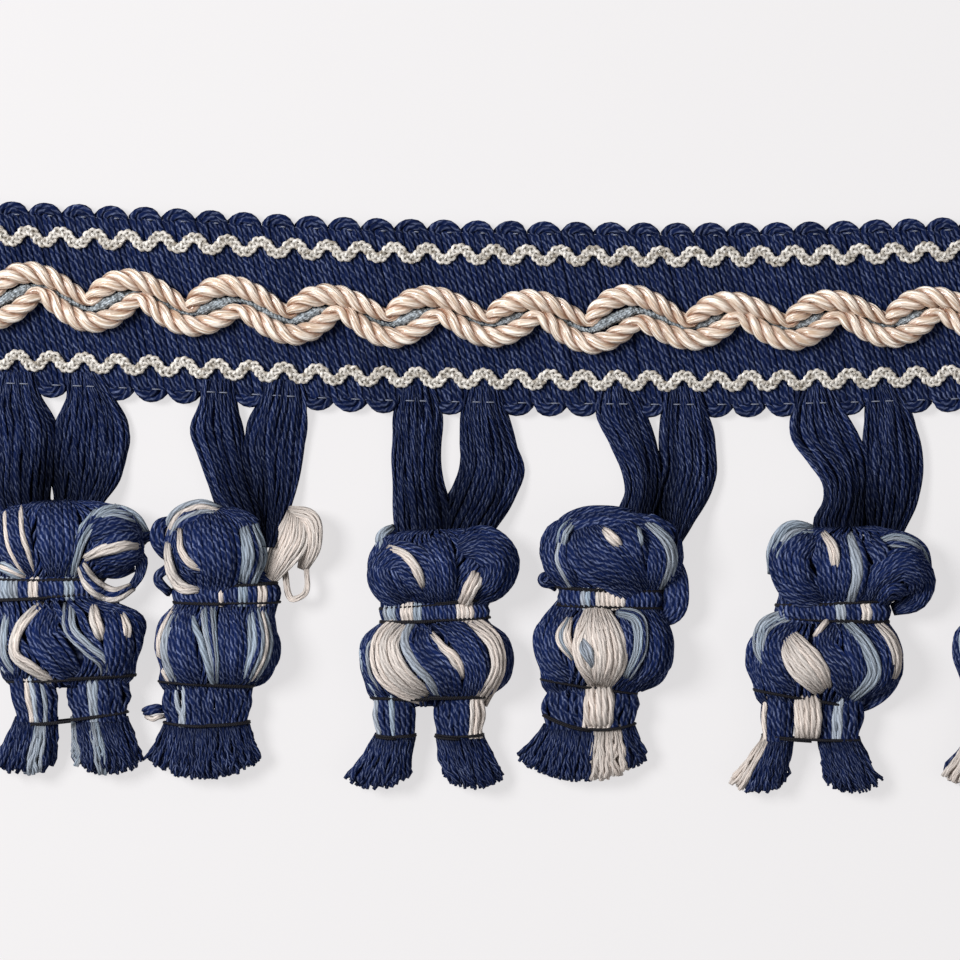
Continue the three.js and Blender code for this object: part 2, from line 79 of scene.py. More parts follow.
# Seeds of the random draws. Each hanger, tassel and set of ties adds its own index
STRAND_SEED = 7
WEFT_SEED = 11
HANGER_SEED = 100
TASSEL_SEED = 200
TIE_SEED = 300

# How bright the same navy yarn is painted in the weft, in the loose hangers and feet, and in the tassels: lit
# and shaded copies of one yarn, which also set how much painted crest highlight shows
WEFT_SHINE = 1.05
HANGER_SHINE = 1.2
TASSEL_SHINE = 1.5

# How far yarns of one colour differ: N navy, B pale blue, C cream
UNEVENNESS = {"N": 0.2, "B": 0.16, "C": 0.07}
WARMTH_SHARE = 0.35
WARMTH_TINT = (1.0, 0.0, -0.6)

# Woven band: each loop of an edge is a rainbow of yarns that turn back
BAND_HALF_WIDTH = 17.3
BAND_THICKNESS = 2.2
UPPER_TIP_X = -STEP + 0.25
LOWER_TIP_X = -0.15
EDGE_TIPS = ((1, UPPER_TIP_X), (-1, LOWER_TIP_X))
WEFT_LEAN = LOOP_PITCH + STEP
RAINBOW_OFFSETS = (0.53, 1.58, 2.64)
RAINBOW_BASE = 15.7
RAINBOW_HEIGHT = 0.86
LOOP_PINCH = 0.12
LOOP_PINCH_AT = 15.4
LOOP_PINCH_WIDTH = 1.3
LOOP_LIFT = 0.4
LOOP_LIFT_AT = 17.3
LOOP_LIFT_WIDTH = 0.8
LOOP_FULLNESS = 0.14
TIP_DROP = 0.75
TIP_DROP_AT = 17.7
TIP_DROP_SPAN = 1.2
LEAVING_INSET = 0.4
SHORTEST_WEFT = 1.0
WEFT_RADIUS = 0.57
WEFT_SWAY = 0.14
WEFT_RIPPLE = 0.12
WEFT_DRAWN_IN = 0.4
WEFT_DRAWN_WIDTH = 0.5
FRONT_WEFT_Z = 1.72
BACK_WEFT_Z = 0.55
GROUND_CELLS = (76, 6)
GROUND_BACK_Z = 0.45
GROUND_THICKNESS = 1.2
GROUND_HALF_WIDTH = 16.1
GROUND_END = TRIM_END - 1.2

# Each face of the weft: its side, the rings along a run and round a turn, and the sides of its yarns
WEFT_FACES = ((1, 14, 9, 5), (-1, 8, 7, 4))

# Edge stitching. Phases and dashes are shares of a loop
STITCH_OFFSET = 16.1
STITCH_RADIUS = 0.12
STITCH_RINGS = 720
STITCH_SIDES = 4
STITCH_INSET = 0.5
STITCH_FACE_Z = 2.25
STITCH_LEG_Z = 3.3
STITCH_SUNK_Z = 1.5
STITCH_RISE = 1.6
STITCH_PHASE = 0.16
UPPER_DASH = 0.054
LOWER_DASH = 0.096
LEG_STITCH_PHASE = 0.2
LEG_DASH = 0.14
STITCH_THREAD_PITCH = 0.8

# Zigzag braids, each a flat plait of three strands
UPPER_ZIGZAG = 12.0
LOWER_ZIGZAG = 11.65
ZIGZAG_STEP = 0.32
ZIGZAG_SWING = 1.08
ZIGZAG_FULLNESS = 1.4
ZIGZAG_Z = 2.85
PLAIT_STRANDS = 3
PLAIT_PITCH = 3.2
PLAIT_HALF_WIDTH = 0.74
PLAIT_HALF_HEIGHT = 0.24
PLAIT_RADIUS = 0.37
# Painted shade: each strand darker in the plait's middle, where the strands cross over and under one another
PLAIT_CROSSING_SHADE = 0.35
PLAIT_SHADE_POWER = 0.8

# Studio, in metres, with the camera's sensor in millimetres
FLOOR_HALF_WIDTH = 2.5
FLOOR_CELLS = 8
SENSOR_WIDTH = 36.0
VIEW_DEPTH = 20.0

# Lamps of the studio: name, share of the key light's power, diameter and place
LAMPS = (
    ("key", 1.0, 0.4, (-0.6, 0.2, 0.78)),
    ("fill", 0.12, 0.8, (0.7, -0.3, 0.8)),
)


class Arch(NamedTuple):
    """The waves of one satin cord: its first cusp, and the heights of its cusps and of its arches."""

    first_x: float
    cusps: tuple
    apexes: tuple
    skew: float
    power: float
    cusp_radius: float
    full_radius: float
    radius_skew: float
    radius_power: float
    cusp_round: float


UPPER_ARCH = Arch(
    first_x=4 * STEP + 0.9 - 7 * WAVE_PITCH,
    cusps=(-0.1, 0.0, 0.0, -0.4, -0.4, -0.3, -0.2, -0.7, -0.6, -0.7, -0.7, -0.4, -0.5, -0.4),
    apexes=(4.6, 5.1, 4.5, 4.3, 3.55, 3.8, 3.4, 4.6, 3.3, 3.3, 3.4, 3.8, 3.6),
    skew=0.76, power=1.0, cusp_radius=0.95, full_radius=2.1, radius_skew=0.62, radius_power=0.6,
    cusp_round=0.05,
)
LOWER_ARCH = Arch(
    first_x=-2 * STEP + 0.8 - 6 * WAVE_PITCH,
    cusps=(0.9, 1.2, 0.95, -0.35, 0.5, 0.4, 0.4, -0.5, 0.45, 0.25, 0.3, 0.4, 0.4, 0.4),
    apexes=(-4.05, -3.95, -3.8, -4.4, -4.25, -3.75, -4.7, -3.85, -4.1, -4.1, -4.15, -4.25, -4.05),
    skew=1.1, power=0.88, cusp_radius=1.4, full_radius=2.02, radius_skew=1.1, radius_power=0.5,
    cusp_round=0.2,
)
CORD_STEP = 0.55
CORD_SIDES = 11
CORD_PLIES = 3
CORD_TURNS_PER_WAVE = 2.35
CORD_HEIGHT_SHARE = 0.95
PLY_OFFSET_SHARE = 0.5
PLY_RADIUS_SHARE = 0.54
# Painted shade of the satin cords: warm brown in the grooves between plies, and darker on the inner side that
# faces the other cord
GROOVE_DEPTH = 0.77
GROOVE_CREST = 0.97
INNER_SHADE = 0.6
GROOVE_TINT = (0.3, 0.16, 0.1)

# Fine cord between the satin ones
FINE_CORD_STEP = 0.3
FINE_CORD_SIDES = 6
FINE_CORD_STRANDS = 2
FINE_CORD_PITCH = 1.7
FINE_CORD_THINNEST = 0.35
FINE_CORD_THICKEST = 1.1
FINE_STRAND_OFFSET = 0.45
FINE_STRAND_RADIUS = 0.6


class Tassel(NamedTuple):
    """Where a tassel's body lies and how wide it is at its puff, waist, belly and neck."""

    drop: float
    stretch: float
    puff_x: float
    puff_half: float
    waist_x: float
    waist_half: float
    belly_x: float
    belly_half: float
    neck_x: float
    neck_half: float
    puff_swirl: float
    belly_swirl: float


TASSELS = (
    Tassel(37.3, 1.02, 3.0, 14.0, -0.5, 10.2, 3.2, 14.0, 3.4, 11.8, 0.10, -0.16),
    Tassel(36.9, 1.01, -6.6, 9.4, -4.6, 9.6, -6.3, 11.4, -8.3, 8.6, 0.22, 0.06),
    Tassel(39.6, 0.965, -1.7, 13.6, -3.0, 9.8, -2.8, 14.2, -4.2, 10.5, 0.18, 0.20),
    Tassel(35.9, 1.0, -7.4, 13.0, -7.8, 9.4, -9.0, 12.8, -11.1, 9.0, 0.24, 0.05),
    Tassel(39.0, 0.99, -0.4, 14.0, -3.6, 10.2, -5.1, 14.4, -7.4, 10.1, -0.12, 0.16),
    Tassel(38.8, 1.0, -0.6, 14.0, -2.6, 10.0, -4.0, 14.0, -5.6, 10.0, 0.15, 0.15),
)


class Section(NamedTuple):
    """A section of a tassel's body: its place below the crown, its share of one of the tassel's four widths,
    its half thickness and the level of its middle."""

    along: float
    of: str
    share: float
    height: float
    z: float


# Ties and hem, below the crown
UPPER_WAIST_TIE = 15.5
LOWER_WAIST_TIE = 18.7
BELLY_TIE = 34.0
FOOT_TIE = 41.6
HEM = 51.5

BODY_SECTIONS = (
    Section(0.9, "puff", 0.34, 0.8, 5.0),
    Section(1.5, "puff", 0.58, 2.4, 5.1),
    Section(2.7, "puff", 0.8, 4.0, 5.2),
    Section(5.0, "puff", 0.95, 5.3, 5.2),
    Section(8.0, "puff", 1.0, 6.0, 5.2),
    Section(12.6, "puff", 0.92, 5.0, 5.0),
    Section(UPPER_WAIST_TIE, "waist", 1.0, 3.2, 4.7),
    Section(17.1, "waist", 1.04, 3.6, 4.7),
    Section(LOWER_WAIST_TIE, "waist", 1.0, 3.2, 4.7),
    Section(21.8, "belly", 0.92, 5.0, 4.9),
    Section(26.5, "belly", 1.0, 5.9, 5.1),
    Section(31.0, "belly", 0.9, 4.9, 4.8),
    Section(BELLY_TIE, "neck", 1.0, 2.8, 4.2),
    Section(35.6, "neck", 0.84, 1.9, 4.2),
)
BODY_TOP = BODY_SECTIONS[0].along
BODY_END = BODY_SECTIONS[-1].along
BODY_ROUNDNESS = 2.5

# Navy yarns round the whole body, with painted shade where a tie draws them in
BODY_YARNS = 72
BODY_RINGS = 38
BODY_JITTER = 0.2
BODY_SWAY = 0.035
BODY_SWELL = 0.03
BODY_GIRTH = 2.835
BODY_FULLNESS = 0.62
BODY_THICKEST = 0.62
TIE_DIP_WIDTH = 1.3
TIE_DIP_DARKER = 0.5

# Filling of the body, darker than its yarns as painted shade
CORE_TOP = BODY_SECTIONS[2].along
CORE_STRANDS = 9
CORE_RINGS = 22
CORE_SIDES = 8
CORE_SPREAD = 0.86
CORE_FULLNESS = 0.9
CORE_SHADE = 0.4

# Bright stretch between the waist ties
WAIST_RINGS = 9
WAIST_TUCK = 0.5
WAIST_SPREAD = 0.97
WAIST_BULGE = 0.6
WAIST_SINK = 0.2
WAIST_FULLNESS = 0.62
WAIST_THICKEST = 0.6

# Locks laid on the body
LOCK_RINGS = 22
LOCK_NARROWEST = 0.2
LOCK_SWAY = 0.35
LOCK_RIPPLE = 0.12
LOCK_END_POWER = 0.55
# Painted shade at a lock's tucked-in ends
LOCK_END_SHADE = 0.5
LOCK_TUCK = 1.6
LOCK_EDGE_CROWN = 0.05
LOCK_BACK_CROWN = 1.2
LOCK_BACK_DEPTH = 0.6
LOCK_FULLNESS = 0.7
LOCK_THICKEST = 0.64


class Leg(NamedTuple):
    """A tassel leg: its middle and half width at the belly, foot tie and hem, and its yarns' colours."""

    tassel: int
    top_x: float
    top_half: float
    tie_x: float
    tie_half: float
    hem_x: float
    hem_half: float
    yarns: str
    foot: str


TASSEL_LEGS = (
    Leg(0, -3.6, 4.4, -2.6, 4.0, -5.2, 5.9, "NNNCBNBNN", "NNNNBBNN"),
    Leg(0, 9.0, 5.8, 9.2, 5.4, 10.8, 6.4, "NNNNBBNNNNNN", "BNNNBBNNNNNN"),
    Leg(1, -8.3, 8.4, -8.4, 8.2, -9.1, 11.2, "NNNBBNNNNNNNNNNNNNNN", "NNNNNNNNNNNNNNNNNNNN"),
    Leg(2, -10.8, 3.9, -10.5, 3.8, -14.2, 5.7, "BNNBNNNN", "NNNNNNNN"),
    Leg(2, 1.6, 4.8, 1.6, 4.6, 4.3, 5.4, "NNNNNNNCCC", "NNNNNNNNNN"),
    Leg(3, -11.1, 8.9, -11.7, 8.8, -13.0, 12.6, "NNNNNNNNCCCCCCNNNNN", "NNNNNNNNNNNCCCCCCNNN"),
    Leg(4, -13.7, 3.2, -13.9, 3.0, -17.7, 5.2, "CNNNNNN", "CCNNNNNN"),
    Leg(4, -2.0, 4.4, -2.4, 4.0, 0.5, 5.1, "NNNBBNNNN", "NNNNNNNNNNN"),
    Leg(5, -11.2, 3.9, -11.6, 3.8, -15.0, 5.6, "CBNNNNNN", "CCCCBNNN"),
    Leg(5, -0.8, 5.0, -0.6, 4.6, 2.6, 5.4, "NNNBNNNNNCC", "NNNNBNNNNNN"),
)
TASSELS_WITH_SPLIT_FOOT_TIE = (2,)

# A leg from its belly tie to its foot tie: places along it, and its width, depth and level at them
LEG_PLACES = (BELLY_TIE - 1.0, BELLY_TIE, 37.2, FOOT_TIE, FOOT_TIE + 1.0)
LEG_WIDTH_SHARES = (1.0, 0.96, 1.02, 0.94, 1.0)
LEG_DEPTHS = (2.6, 2.3, 2.9, 2.1, 2.4)
LEG_LEVELS = (4.2, 4.2, 4.1, 4.0, 3.9)
LEG_RINGS = 12
LEG_TUCK = 0.8
LEG_OVERRUN = 0.4
LEG_SWAY = 0.05
LEG_RIPPLE = 0.1
LEG_FULLNESS = 0.66
LEG_THICKEST = 0.65

# A foot: layers of cut ends that fan out below the foot tie
FOOT_LAYERS = 4
FOOT_BACK_LAYER = -0.5
FOOT_YARNS_TO_A_LETTER = 3
FOOT_BACK_YARNS_TO_A_LETTER = 2
FOOT_RINGS = 9
FOOT_TUCK = 0.6
FOOT_FAN_POWER = 1.15
FOOT_SPREAD = 0.96
FOOT_TIE_HEIGHT = 2.3
FOOT_TIE_Z = 4.0
FOOT_DROP = 0.9
FOOT_DEPTH = 2.0
FOOT_EDGE_DEPTH = 0.1
FOOT_SWELL = 0.7
FOOT_SWAY = 0.8
FOOT_RIPPLE = 0.6
FOOT_FULLNESS = 1.05
FOOT_THICKEST = 0.5
CUT_END_TAPER = 0.8
HEM_ROUNDING = 0.34
HEM_ROUNDING_POWER = 2.5
HEM_UNEVENNESS = (-1.0, 0.5)
# Painted shade of a foot: darkest at its tie, lighter below
FOOT_TIE_SHADE = 0.4
FOOT_LIGHTER_BELOW = 0.5
FOOT_SHADE_SPAN = 0.35

# Black thread ties: how each tassel's waist ties, belly tie and foot tie tilt, and how its foot tie sags
TIE_RADIUS = 0.23
TIE_TURNS = 2
TIE_RINGS_TO_A_TURN = 34
TIE_REACH = 0.52
TIE_SPREAD = 0.4
TIE_SWAY = 0.12
TIE_RIPPLE = 0.08
TIE_THREAD_PITCH = 0.9
TIE_TILTS = (
    (0.0, 0.07, 0.05, 0.12),
    (0.04, 0.0, -0.06, 0.0),
    (0.1, 0.04, 0.0, 0.0),
    (-0.05, -0.04, -0.16, -0.1),
    (0.04, -0.05, -0.18, -0.05),
    (0.05, 0.03, -0.04, 0.0),
)
BODY_TIE_SAG = 0.2
FOOT_TIE_SAGS = (0.3, 0.7, 0.3, 2.0, 0.4, 0.4)
SAG_MIDDLE = 0.2

# Colours across the front of each waist, from left to right: N navy, B pale blue, C cream
WAISTS = (
    "BBBBBNNCCNNNNNBBNNNNN",
    "NNNNNNNNNCNNNBBNNCCNN",
    "BBBNCCCBBNNNNNNNNCCCCNNN",
    "NNNNBBNCCCCCCNNNNNNN",
    "NNNNNNNNNNNBBNNNCCNNN",
    "BBNNCCNNNNNNNNBBNNCCNN",
)


class Lock(NamedTuple):
    """A lock on a tassel's face: its yarns' colours from left to right, how far it crowns, its way as
    stations of (x, down, half width), how far it lies above the body, and whether it is round at its back."""

    yarns: str
    crown: float
    way: tuple
    lift: float = 0.0
    whole: bool = False


# Locks of the first five tassels, one table each
LOCKS_1 = (
    Lock("NNCNNNCN", 1.6, ((-7.4, 34.9, 2.8), (-6.4, 42.4, 3.2), (-3.2, 50.0, 1.5))),
    Lock("NNNNN", 1.4, ((-10.0, 36.4, 1.4), (-11.2, 42.0, 1.8), (-8.6, 49.0, 1.4))),
    Lock("BCB", 0.6, ((-11.2, 46.2, 0.7), (-7.6, 47.6, 1.0), (-4.2, 49.4, 0.7)), 0.5),
    Lock("NNNNNNNNN", 1.8, ((1.4, 34.7, 3.4), (2.0, 42.1, 3.9), (1.0, 50.0, 1.7))),
    Lock("NNNNNNN", 1.6, ((5.6, 41.8, 1.6), (10.6, 39.8, 2.8), (14.8, 40.2, 2.6), (17.8, 42.8, 0.9)),
         -0.2, True),
    Lock("BNBB", 0.8, ((10.2, 36.2, 1.3), (6.5, 41.1, 1.3), (3.6, 50.0, 1.1)), 0.4),
    Lock("BBNBBB", 0.9, ((7.4, 40.0, 1.2), (11.6, 37.8, 2.3), (15.8, 38.9, 1.8), (18.2, 41.3, 0.8)),
         0.5, True),
    Lock("NNNN", 0.5, ((8.6, 47.8, 1.0), (12.2, 47.9, 1.5), (15.6, 47.2, 1.0)), -0.2, True),
    Lock("NNN", 1.0, ((6.4, 45.8, 0.8), (12.7, 42.3, 1.3), (19.0, 41.4, 0.9)), 0.5, True),
    Lock("NNNN", 1.1, ((8.2, 46.0, 0.8), (13.8, 45.4, 1.4), (17.2, 45.6, 1.2), (17.0, 48.4, 0.9),
                       (15.2, 51.2, 0.6)), 0.7, True),
    Lock("CC", 0.8, ((6.6, 45.7, 0.6), (10.6, 43.9, 0.9), (14.8, 43.2, 0.9), (17.6, 43.2, 0.4)), 1.1, True),
    Lock("CNC", 0.8, ((6.0, 46.4, 0.9), (8.2, 50.4, 1.4), (12.0, 52.5, 1.3), (15.6, 51.0, 0.8)), 1.2, True),
    Lock("CC", 0.6, ((-1.1, 54.0, 0.7), (-5.8, 59.3, 1.0), (-6.3, 63.5, 1.0), (-2.9, 66.6, 1.0),
                     (1.0, 69.2, 0.8)), 0.6),
    Lock("BNBB", 0.6, ((-8.2, 54.4, 1.2), (-9.2, 59.9, 1.4), (-8.8, 65.0, 1.2), (-5.6, 69.0, 0.9)), 0.3),
    Lock("NNNNNNN", 1.2, ((1.5, 54.0, 1.7), (-1.0, 59.9, 2.8), (1.8, 64.6, 3.0), (5.4, 69.2, 2.0))),
    Lock("BNBB", 0.6, ((3.8, 54.0, 1.1), (4.2, 58.8, 1.2), (7.5, 62.5, 1.2), (10.6, 65.6, 1.1),
                       (10.2, 68.6, 0.8)), 0.6),
    Lock("CC", 0.5, ((8.4, 54.2, 0.5), (9.1, 57.8, 1.2), (10.1, 61.0, 0.5)), 0.8),
    Lock("CC", 0.5, ((13.6, 55.6, 0.4), (14.8, 58.6, 0.8), (14.4, 62.4, 0.4)), 0.8),
    Lock("NNNNN", 1.1, ((11.6, 54.4, 1.4), (13.0, 59.9, 2.3), (12.7, 65.1, 2.2), (11.0, 69.0, 1.4)), 0.2),
)
LOCKS_2 = (
    Lock("NBCB", 1.2, ((-15.6, 42.0, 1.3), (-13.6, 38.2, 1.9), (-9.4, 36.4, 1.9), (-5.4, 37.0, 1.2)),
         0.0, True),
    Lock("NNNNNNNNNNNN", 2.8, ((-8.2, 36.2, 3.2), (-7.9, 41.6, 5.8), (-6.9, 47.2, 5.2), (-7.8, 53.0, 3.2))),
    Lock("CC", 0.6, ((-15.6, 42.4, 0.5), (-15.4, 46.9, 0.9), (-13.0, 50.8, 1.0), (-9.4, 51.6, 0.5)), 1.6),
    Lock("NCC", 0.6, ((-13.4, 40.0, 0.5), (-12.9, 44.2, 0.9), (-10.8, 47.0, 1.0), (-7.9, 47.9, 0.5)), 2.6),
    Lock("BBBNBB", 1.4, ((-0.4, 39.2, 1.7), (0.9, 44.6, 2.3), (-0.6, 50.6, 1.7)), 0.9, True),
    Lock("CCCCCC", 1.0, ((7.0, 36.8, 1.2), (11.0, 38.4, 2.0), (11.5, 42.8, 1.9), (9.8, 47.6, 1.0)),
         0.3, True),
    Lock("CCCCCCCCC", 1.3, ((3.2, 50.4, 1.0), (5.6, 45.8, 2.5), (8.1, 41.0, 3.1), (8.6, 36.8, 1.7)),
         0.8, True),
    Lock("CC", 0.4, ((6.4, 48.0, 0.5), (8.0, 53.4, 0.5), (10.0, 52.6, 0.5), (10.6, 47.0, 0.4)), 0.0, True),
    Lock("NNN", 0.8, ((-14.6, 38.0, 0.6), (-17.2, 39.6, 1.2), (-17.4, 42.8, 1.3), (-15.6, 45.8, 0.7)),
         0.2, True),
    Lock("NN", 0.6, ((-15.4, 47.0, 0.7), (-17.6, 49.4, 0.8), (-15.4, 52.2, 0.7)), 0.4, True),
    Lock("CBB", 0.7, ((-13.2, 54.0, 0.8), (-16.4, 61.5, 1.3), (-15.7, 66.8, 1.2), (-13.8, 70.6, 0.7)), 0.2),
    Lock("NNNNNN", 1.1, ((-11.6, 54.0, 1.8), (-12.8, 62.0, 2.7), (-10.6, 70.8, 1.8))),
    Lock("B", 0.3, ((-11.0, 56.2, 0.4), (-8.7, 62.2, 0.5), (-7.0, 70.0, 0.4)), 0.9),
    Lock("BBNBB", 0.8, ((-7.9, 54.4, 1.5), (-7.4, 59.3, 1.3), (-6.6, 64.5, 0.8), (-6.7, 70.0, 0.4)), 0.7),
    Lock("NNNNNNN", 1.2, ((-3.8, 54.0, 1.8), (-3.3, 62.0, 2.9), (-3.8, 70.8, 1.9))),
    Lock("BBNBCB", 1.0, ((1.0, 54.0, 1.6), (2.0, 62.0, 2.3), (-1.2, 70.2, 1.2)), 0.2),
    Lock("NNNN", 0.9, ((3.4, 54.6, 0.6), (4.1, 60.6, 0.9), (3.7, 65.4, 1.1), (2.0, 68.5, 1.0),
                       (-1.2, 69.8, 0.5)), -0.8, True),
    Lock("NN", 0.6, ((-16.4, 74.4, 0.5), (-18.8, 74.2, 0.9), (-20.4, 74.9, 0.6)), 0.0, True),
    Lock("C", 0.4, ((-16.4, 75.6, 0.3), (-18.4, 76.0, 0.4), (-20.0, 75.8, 0.3)), 0.0, True),
)
LOCKS_3 = (
    Lock("BBN", 0.6, ((-10.8, 39.8, 0.8), (-12.8, 41.4, 1.2), (-13.2, 45.0, 1.0)), -0.6, True),
    Lock("NNNNNNNNNNNN", 2.2, ((-10.8, 43.2, 1.6), (-12.0, 48.4, 3.9), (-8.4, 54.6, 2.8)), 0.2, True),
    Lock("NNNNNNNNNNN", 2.2, ((-4.9, 42.3, 4.8), (-2.9, 47.2, 3.9), (-2.2, 54.6, 2.8)), 0.2),
    Lock("NNNNNNNNNN", 1.7, ((-12.6, 53.4, 0.7), (-13.8, 48.4, 1.9), (-10.4, 45.6, 3.1), (-5.6, 48.2, 3.6),
                             (-3.0, 54.2, 2.4)), 0.9),
    Lock("CC", 0.4, ((-12.0, 43.2, 0.4), (-8.5, 44.9, 0.7), (-6.3, 48.0, 0.8), (-5.2, 51.0, 0.4)), 2.9),
    Lock("NNNNNNNNNN", 2.7, ((0.6, 43.6, 1.8), (6.0, 42.8, 3.4), (9.4, 46.2, 3.6), (8.2, 50.4, 3.0),
                             (3.6, 53.2, 1.8)), 0.4, True),
    Lock("CCC", 0.7, ((5.2, 48.4, 1.2), (3.6, 51.4, 1.3), (2.2, 54.2, 1.0)), 1.4),
    Lock("BNB", 0.7, ((-11.4, 57.4, 0.9), (-16.2, 62.1, 1.0), (-15.8, 67.2, 0.9), (-12.8, 72.4, 0.8)), 0.2),
    Lock("CCCCCCC", 1.2, ((-8.4, 56.8, 1.5), (-12.3, 61.6, 2.5), (-11.4, 66.4, 3.0), (-8.2, 69.8, 2.6),
                          (-4.4, 72.0, 1.7)), 0.5),
    Lock("BBN", 0.8, ((-6.4, 57.0, 1.0), (-8.4, 61.0, 1.2), (-6.6, 65.0, 1.2), (-3.8, 68.2, 1.1),
                      (-2.0, 72.0, 0.9)), 0.4),
    Lock("NNNNN", 1.0, ((-4.5, 57.6, 0.9), (-5.0, 61.4, 1.8), (-0.9, 66.5, 2.2), (0.5, 72.2, 1.8)), 0.3),
    Lock("CC", 0.4, ((-3.8, 59.6, 0.5), (-1.4, 62.3, 0.7), (1.4, 65.4, 0.8), (2.3, 68.2, 0.4)), 1.1),
    Lock("NNNNNNN", 1.2, ((-0.8, 57.2, 1.9), (3.4, 62.1, 2.4), (5.0, 66.5, 2.3), (4.0, 72.6, 1.4)), 0.4),
    Lock("BC", 0.4, ((-13.4, 79.8, 0.4), (-13.2, 82.0, 0.6), (-13.6, 84.4, 0.3)), 0.9),
    Lock("CCCC", 0.9, ((3.0, 57.0, 1.7), (8.2, 61.4, 1.5), (9.1, 65.8, 1.3), (5.4, 72.8, 1.7)), 0.6),
)
LOCKS_4 = (
    Lock("NNNBNNN", 1.5, ((-15.4, 38.4, 1.3), (-18.0, 44.6, 2.4), (-14.6, 52.4, 1.8)), 0.2),
    Lock("NNNNNNNNNNNNNN", 2.8, ((-12.6, 38.0, 2.4), (-11.0, 42.8, 5.4), (-5.4, 48.8, 4.4),
                                 (-2.4, 53.6, 2.4)), 0.3),
    Lock("CC", 0.4, ((-9.2, 40.0, 0.5), (-7.6, 41.6, 0.9), (-5.8, 43.6, 0.4)), 2.9),
    Lock("NNNN", 1.2, ((-5.6, 38.8, 1.4), (-3.8, 42.0, 1.8), (-1.8, 47.0, 1.2)), 1.4),
    Lock("B", 0.2, ((-2.9, 39.8, 0.3), (-2.3, 41.6, 0.4), (-1.8, 43.4, 0.2)), 2.8),
    Lock("BNBB", 0.6, ((-14.8, 38.4, 0.7), (-16.6, 40.4, 1.0), (-17.4, 43.4, 0.8)), 1.7),
    Lock("NNN", 0.8, ((-4.0, 37.2, 0.9), (0.8, 38.8, 1.2), (3.8, 42.0, 0.8)), -0.6, True),
    Lock("NNNNNBBB", 1.5, ((-2.4, 38.6, 1.6), (1.8, 44.6, 2.9), (0.4, 52.6, 1.8)), 0.4),
    Lock("NNNN", 0.6, ((-18.6, 42.8, 0.9), (-16.6, 39.2, 1.3), (-13.2, 37.4, 1.3), (-8.6, 36.8, 1.2),
                       (-3.0, 37.2, 0.9)), 0.7, True),
    Lock("NNNN", 1.2, ((-19.6, 45.0, 0.8), (-17.2, 40.2, 1.4), (-11.0, 37.9, 1.6), (-4.2, 38.7, 1.6),
                       (1.0, 41.6, 1.0)), 0.2, True),
    Lock("NNNNNN", 1.4, ((3.4, 44.0, 1.2), (4.8, 50.2, 2.2), (3.6, 55.8, 2.3), (0.4, 57.6, 1.2)), 0.0, True),
    Lock("CCCCC", 1.2, ((-10.0, 69.6, 2.3), (-10.0, 73.6, 2.9), (-9.8, 77.6, 2.3)), 0.7, True),
    Lock("NN", 0.6, ((-17.6, 48.4, 0.6), (-20.6, 49.7, 0.8), (-18.2, 51.4, 0.6)), 0.3, True),
    Lock("NNNNNN", 1.4, ((-15.8, 53.8, 1.7), (-19.6, 59.9, 2.1), (-18.9, 65.1, 2.1), (-15.0, 69.6, 1.6)),
         0.2),
    Lock("CBCC", 0.6, ((-15.4, 56.6, 0.5), (-16.8, 60.4, 1.4), (-14.6, 64.6, 0.6)), 1.2),
    Lock("CCCCCCCCCCC", 2.2, ((-10.4, 54.0, 1.7), (-10.2, 59.6, 4.5), (-9.6, 64.8, 4.8), (-9.6, 70.4, 1.8)),
         0.6),
    Lock("CC", 0.6, ((-11.0, 56.0, 0.4), (-14.0, 60.8, 0.8), (-13.6, 65.4, 0.8), (-10.8, 69.4, 0.4)), 2.1),
    Lock("CCCC", 0.6, ((-10.4, 56.0, 0.7), (-9.6, 61.0, 1.6), (-9.4, 65.2, 1.6), (-10.2, 69.4, 0.7)), 2.4),
    Lock("BBB", 0.2, ((-13.3, 60.4, 0.3), (-12.4, 63.2, 1.1), (-11.2, 66.0, 0.3)), 3.3),
    Lock("NNNN", 1.0, ((1.8, 58.4, 0.9), (2.6, 63.4, 1.2), (1.2, 68.2, 1.2), (-2.0, 70.4, 0.7)), -0.7, True),
    Lock("NNNN", 0.8, ((-5.4, 55.4, 0.8), (-4.4, 60.6, 1.5), (-4.8, 66.8, 1.0)), 0.8),
    Lock("BBBNB", 0.6, ((-6.6, 55.6, 0.8), (-3.0, 56.7, 1.3), (-2.2, 62.0, 1.3), (-4.8, 68.2, 0.8)), 1.5),
    Lock("NNNNNNN", 1.6, ((-1.2, 54.4, 1.4), (1.2, 61.0, 2.5), (0.4, 66.1, 2.4), (-3.9, 70.4, 1.3)), 0.2),
)
